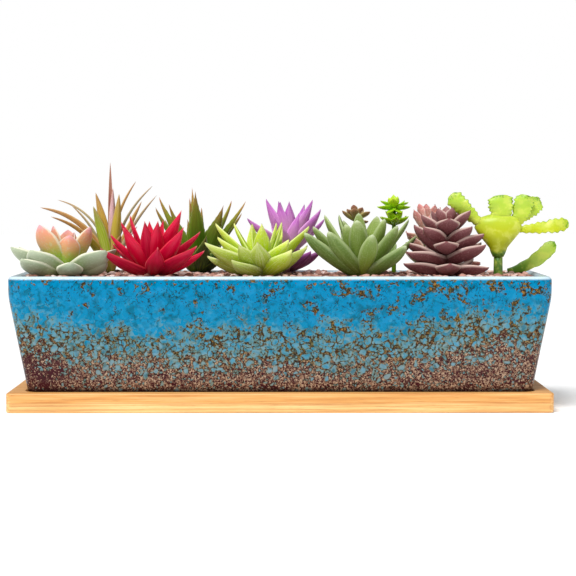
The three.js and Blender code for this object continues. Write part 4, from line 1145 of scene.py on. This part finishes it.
def make_leaf(shape, section, leaf, columns=LEAF_COLUMNS, rows=LEAF_ROWS, ruffle=0):
    """One leaf along an arc: hollow or flat above, keeled below."""
    bearing = math.radians(leaf.bearing)
    outward = Vector((math.cos(bearing), math.sin(bearing), 0))
    sideways = Vector((-outward.y, outward.x, 0))
    start = math.radians(leaf.rise)
    arc = math.radians(leaf.curl) or 1e-6
    radius = leaf.length / arc
    roll = math.radians(leaf.roll)
    if section.teeth:
        rows = 2 * section.teeth + 2

    def place(column, row):
        share = max(row - 1, 0) / (rows - 2) if row < rows else 1
        if not section.teeth:
            share = lerp(share, math.sin(math.pi / 2 * share), 0.5)
        angle = start + arc * share
        radial = leaf.out + radius * (math.sin(angle) - math.sin(start))
        height = -radius * (math.cos(angle) - math.cos(start))
        middle = leaf.foot + outward * radial + Vector((0, 0, height))
        if row in (0, rows):
            return middle, (share, 0, 0.5, leaf.tint, leaf.level)
        turn = math.tau * column / columns
        side = math.cos(turn)
        face = math.sin(turn)
        half = leaf.width / 2 * leaf_width(shape, share)
        if section.teeth and row % 2 == 0:
            half += TOOTH * (1 - share) * abs(side) ** 4
        thick = leaf.thickness * (1 - LEAF_THINNING * share) * tip_rounding(share)
        across = half * side
        if face > 0:
            above = thick * ((1 - KEEL_SHARE) * face - section.hollow * (1 - side * side))
        else:
            above = thick * KEEL_SHARE * lerp(face, abs(side) - 1, section.keel)
        above += section.fold * half * side * side
        if ruffle:
            # The margin waves slowly up and down and finely outwards.
            above += ruffle * math.sin(9 * share + 13.8 * leaf.tint) * side * share
            wave = math.sin(52 * share) + 0.6 * math.sin(23 * share + 5 * leaf.tint)
            across += 0.32 * ruffle * wave * side * abs(side) * leaf_width(shape, share)
        over = across * math.cos(roll) - above * math.sin(roll)
        up = across * math.sin(roll) + above * math.cos(roll)
        level = radial - up * math.sin(angle)
        point = leaf.foot + outward * level + sideways * over + Vector((0, 0, height + up * math.cos(angle)))
        return point, (share, side, (face + 1) / 2, leaf.tint, leaf.level)

    return new_tube(columns, rows, place, LEAF_READINGS)


def make_stem(plant, top, rows=8, columns=12):
    """The stem, from among the roots to the plant's top."""
    middle = bed_place(plant)
    low = soil_z - ROOT_DEPTH

    def place(column, row):
        if row in (0, rows):
            z = low if row == 0 else top
            return Vector((middle.x, middle.y, z)), STEM_READINGS
        share = (row - 1) / (rows - 2)
        radius = plant.stem * lerp(1, STEM_THINNING, share)
        turn = math.tau * column / columns
        side = Vector((math.cos(turn), math.sin(turn), 0)) * radius
        return Vector((middle.x, middle.y, lerp(low, top, share))) + side, STEM_READINGS

    return new_tube(columns, rows, place, LEAF_READINGS)


def new_plant(plant, top):
    body = bmesh.new()
    for name in LEAF_READINGS:
        body.verts.layers.float.new(name)
    join(body, make_stem(plant, top))
    return body


def leaves_of(plant):
    return [Leaf(*row) for row in plant.leaves]


def plant_leaves(plant):
    """Every leaf as it grows. A row's first stands as given, and those that repeat it vary a little."""
    middle = bed_place(plant)
    for row, leaf in enumerate(leaves_of(plant)):
        for place in range(leaf.times):
            seed = row * 17 + place * 5
            loose = 1 if place else 0
            bearing = leaf.bearing + leaf.turn * place + loose * spread(seed, 4)
            side_roll = -SIDE_ROLL * math.cos(math.radians(bearing))
            yield Grown(
                foot=middle + Vector((0, 0, leaf.up)),
                bearing=bearing,
                rise=leaf.rise + loose * spread(seed + 1, 3),
                curl=leaf.curl,
                roll=side_roll if leaf.roll is None else leaf.roll,
                length=leaf.length * (1 + loose * spread(seed + 2, 0.05)),
                width=leaf.width,
                thickness=leaf.thickness,
                out=plant.stem * LEAF_FOOT,
                tint=scatter(seed + 7) if leaf.tone is None else leaf.tone,
                level=min(max(leaf.rise, 0) / INNERMOST_RISE, 1),
            )


def make_rosette(node, name, slot, skin, ruffle=0, stem_end=2):
    plant = PLANTS[node]
    body = new_plant(plant, crown_z + max(leaf.up for leaf in leaves_of(plant)) + stem_end)
    for leaf in plant_leaves(plant):
        join(body, make_leaf(plant.shape, plant.section, leaf, ruffle=ruffle))
    bmesh.ops.recalc_face_normals(body, faces=body.faces)
    return fit_in(to_object(name, body, skin), "planting", slot, node)


def make_spurge():
    middle = bed_place(SPURGE)
    body = new_plant(SPURGE, crown_z + TRUNK_TOP)
    foot = SPURGE_FUNNEL[0][2]
    levels = [(0, 0, foot), *SPURGE_FUNNEL, (0, 0, SPURGE_TOP)]

    def place(column, row):
        half_width, half_depth, up = levels[row]
        turn = math.tau * column / SPURGE_COLUMNS
        side = Vector((half_width * math.cos(turn), half_depth * math.sin(turn), up))
        return middle + side, (0.4, math.cos(turn), 0.5, 0.5, 0.5)  # as the middle of an arm

    funnel = new_tube(SPURGE_COLUMNS, len(levels) - 1, place, LEAF_READINGS)
    bmesh.ops.subdivide_edges(funnel, edges=funnel.edges, cuts=1, smooth=0.3, use_grid_fill=True)
    join(body, funnel)
    for number, arm in enumerate(SPURGE_ARMS):
        foot = middle + Vector((arm.side, 0, arm.up))
        leaf = Grown(foot, arm.bearing, arm.rise, arm.curl, arm.roll, arm.length, arm.width, arm.thickness,
                     out=0, tint=scatter(number), level=1)
        join(body, make_leaf(PADDLE, SPURGE.section, leaf, columns=18, rows=60, ruffle=1.3))
    bmesh.ops.recalc_face_normals(body, faces=body.faces)
    piece = to_object("crested_stem", body, spurge_skin())
    return fit_in(piece, "planting", "spurge_flesh", "crested_spurge")


# Stage

def make_stage():
    floor = bmesh.new()
    bmesh.ops.create_grid(floor, x_segments=1, y_segments=1, size=FLOOR_SIZE)
    plane = to_object("studio_floor", floor, None)
    look = Look("studio_floor", 0.9, {"Specular IOR Level": 0})
    haze = look.place().cloud(900, 1)
    look.feed("Base Color", haze.ramp([(0.3, 252, 252, 252), (0.7, 255, 255, 255)]))
    plane.data.materials.append(look.material)
    world = bpy.data.worlds.new("studio")
    bpy.context.scene.world = world
    world.use_nodes = True
    tree = world.node_tree
    background = tree.nodes["Background"]
    background.inputs["Color"].default_value = (1, 1, 1, 1)
    # The backdrop shows white, and lights the planter less than it shows.
    seen = tree.nodes.new("ShaderNodeLightPath").outputs["Is Camera Ray"]
    strength = tree.nodes.new("ShaderNodeMapRange")
    strength.inputs["To Min"].default_value = AMBIENT
    strength.inputs["To Max"].default_value = 1.0
    tree.links.new(seen, strength.inputs["Value"])
    tree.links.new(strength.outputs[0], background.inputs["Strength"])
    bpy.context.scene.view_settings.view_transform = "Standard"


def add_light(name, kind, place, aim, **settings):
    lamp = bpy.data.lights.new(name, kind)
    for setting, value in settings.items():
        setattr(lamp, setting, value)
    light = bpy.data.objects.new(name, lamp)
    bpy.context.scene.collection.objects.link(light)
    light.location = Vector(place) * MM
    light.rotation_euler = (Vector(aim) - Vector(place)).to_track_quat("-Z", "Y").to_euler()


def light_planter():
    """Broad even daylight from the front left, and a tall soft panel at each side."""
    add_light("daylight", "SUN", (-300, -620, 900), (0, 0, 0), energy=3.1, angle=math.radians(30))
    for name, x in (("left_side", -700), ("right_side", 700)):
        add_light(name, "AREA", (x, -300, 300), (0, 0, 50), shape="RECTANGLE", energy=1.2,
                  size=200 * MM, size_y=700 * MM)


def make_camera():
    camera = bpy.data.objects.new("camera", bpy.data.cameras.new("camera"))
    bpy.context.scene.collection.objects.link(camera)
    camera.data.lens = CAMERA_LENS
    camera.data.sensor_width = CAMERA_SENSOR
    camera.location = Vector(CAMERA_PLACE) * MM
    camera.rotation_euler = (math.radians(90 - CAMERA_DOWN), 0, math.radians(-CAMERA_RIGHT))
    bpy.context.scene.camera = camera


make_stage()
make_camera()
light_planter()

make_tray()
make_pot()
screen_finish = moulded_mesh()
for side in ("left", "middle", "right"):
    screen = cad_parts["drain_screen_" + side]
    screen.data.materials.clear()
    screen.data.materials.append(screen_finish)
make_soil()
make_gravel()
rosettes = [
    ("sage_echeveria", "sage_rosette", "sage_leaf", sage_skin),
    ("red_agave", "crimson_agave", "red_leaf", crimson_skin),
    ("lime_echeveria", "lime_rosette", "lime_leaf", lime_skin),
    ("green_finger", "finger_rosette", "green_leaf", finger_skin),
    ("mauve_pinecone", "mauve_cone", "mauve_leaf", mauve_skin),
    ("purple_echeveria", "orchid_rosette", "purple_leaf", orchid_skin),
    ("dark_aloe", "toothed_aloe", "dark_leaf", aloe_skin),
    ("spiky_airplant", "arching_airplant", "olive_leaf", airplant_skin),
    ("bronze_rosette", "bronze_head", "bronze_leaf", bronze_skin),
    ("lime_sedum", "sedum_heads", "bright_lime_leaf", bright_lime_skin),
]
for node, piece, slot, skin in rosettes:
    make_rosette(node, piece, slot, skin())
make_rosette("blush_rosette", "blush_head", "blush_leaf", blush_skin(), ruffle=0.8)
make_rosette("spurge_offshoot", "spurge_blade", "pale_lime_flesh", offshoot_skin(), ruffle=0.8, stem_end=-0.6)
make_spurge()
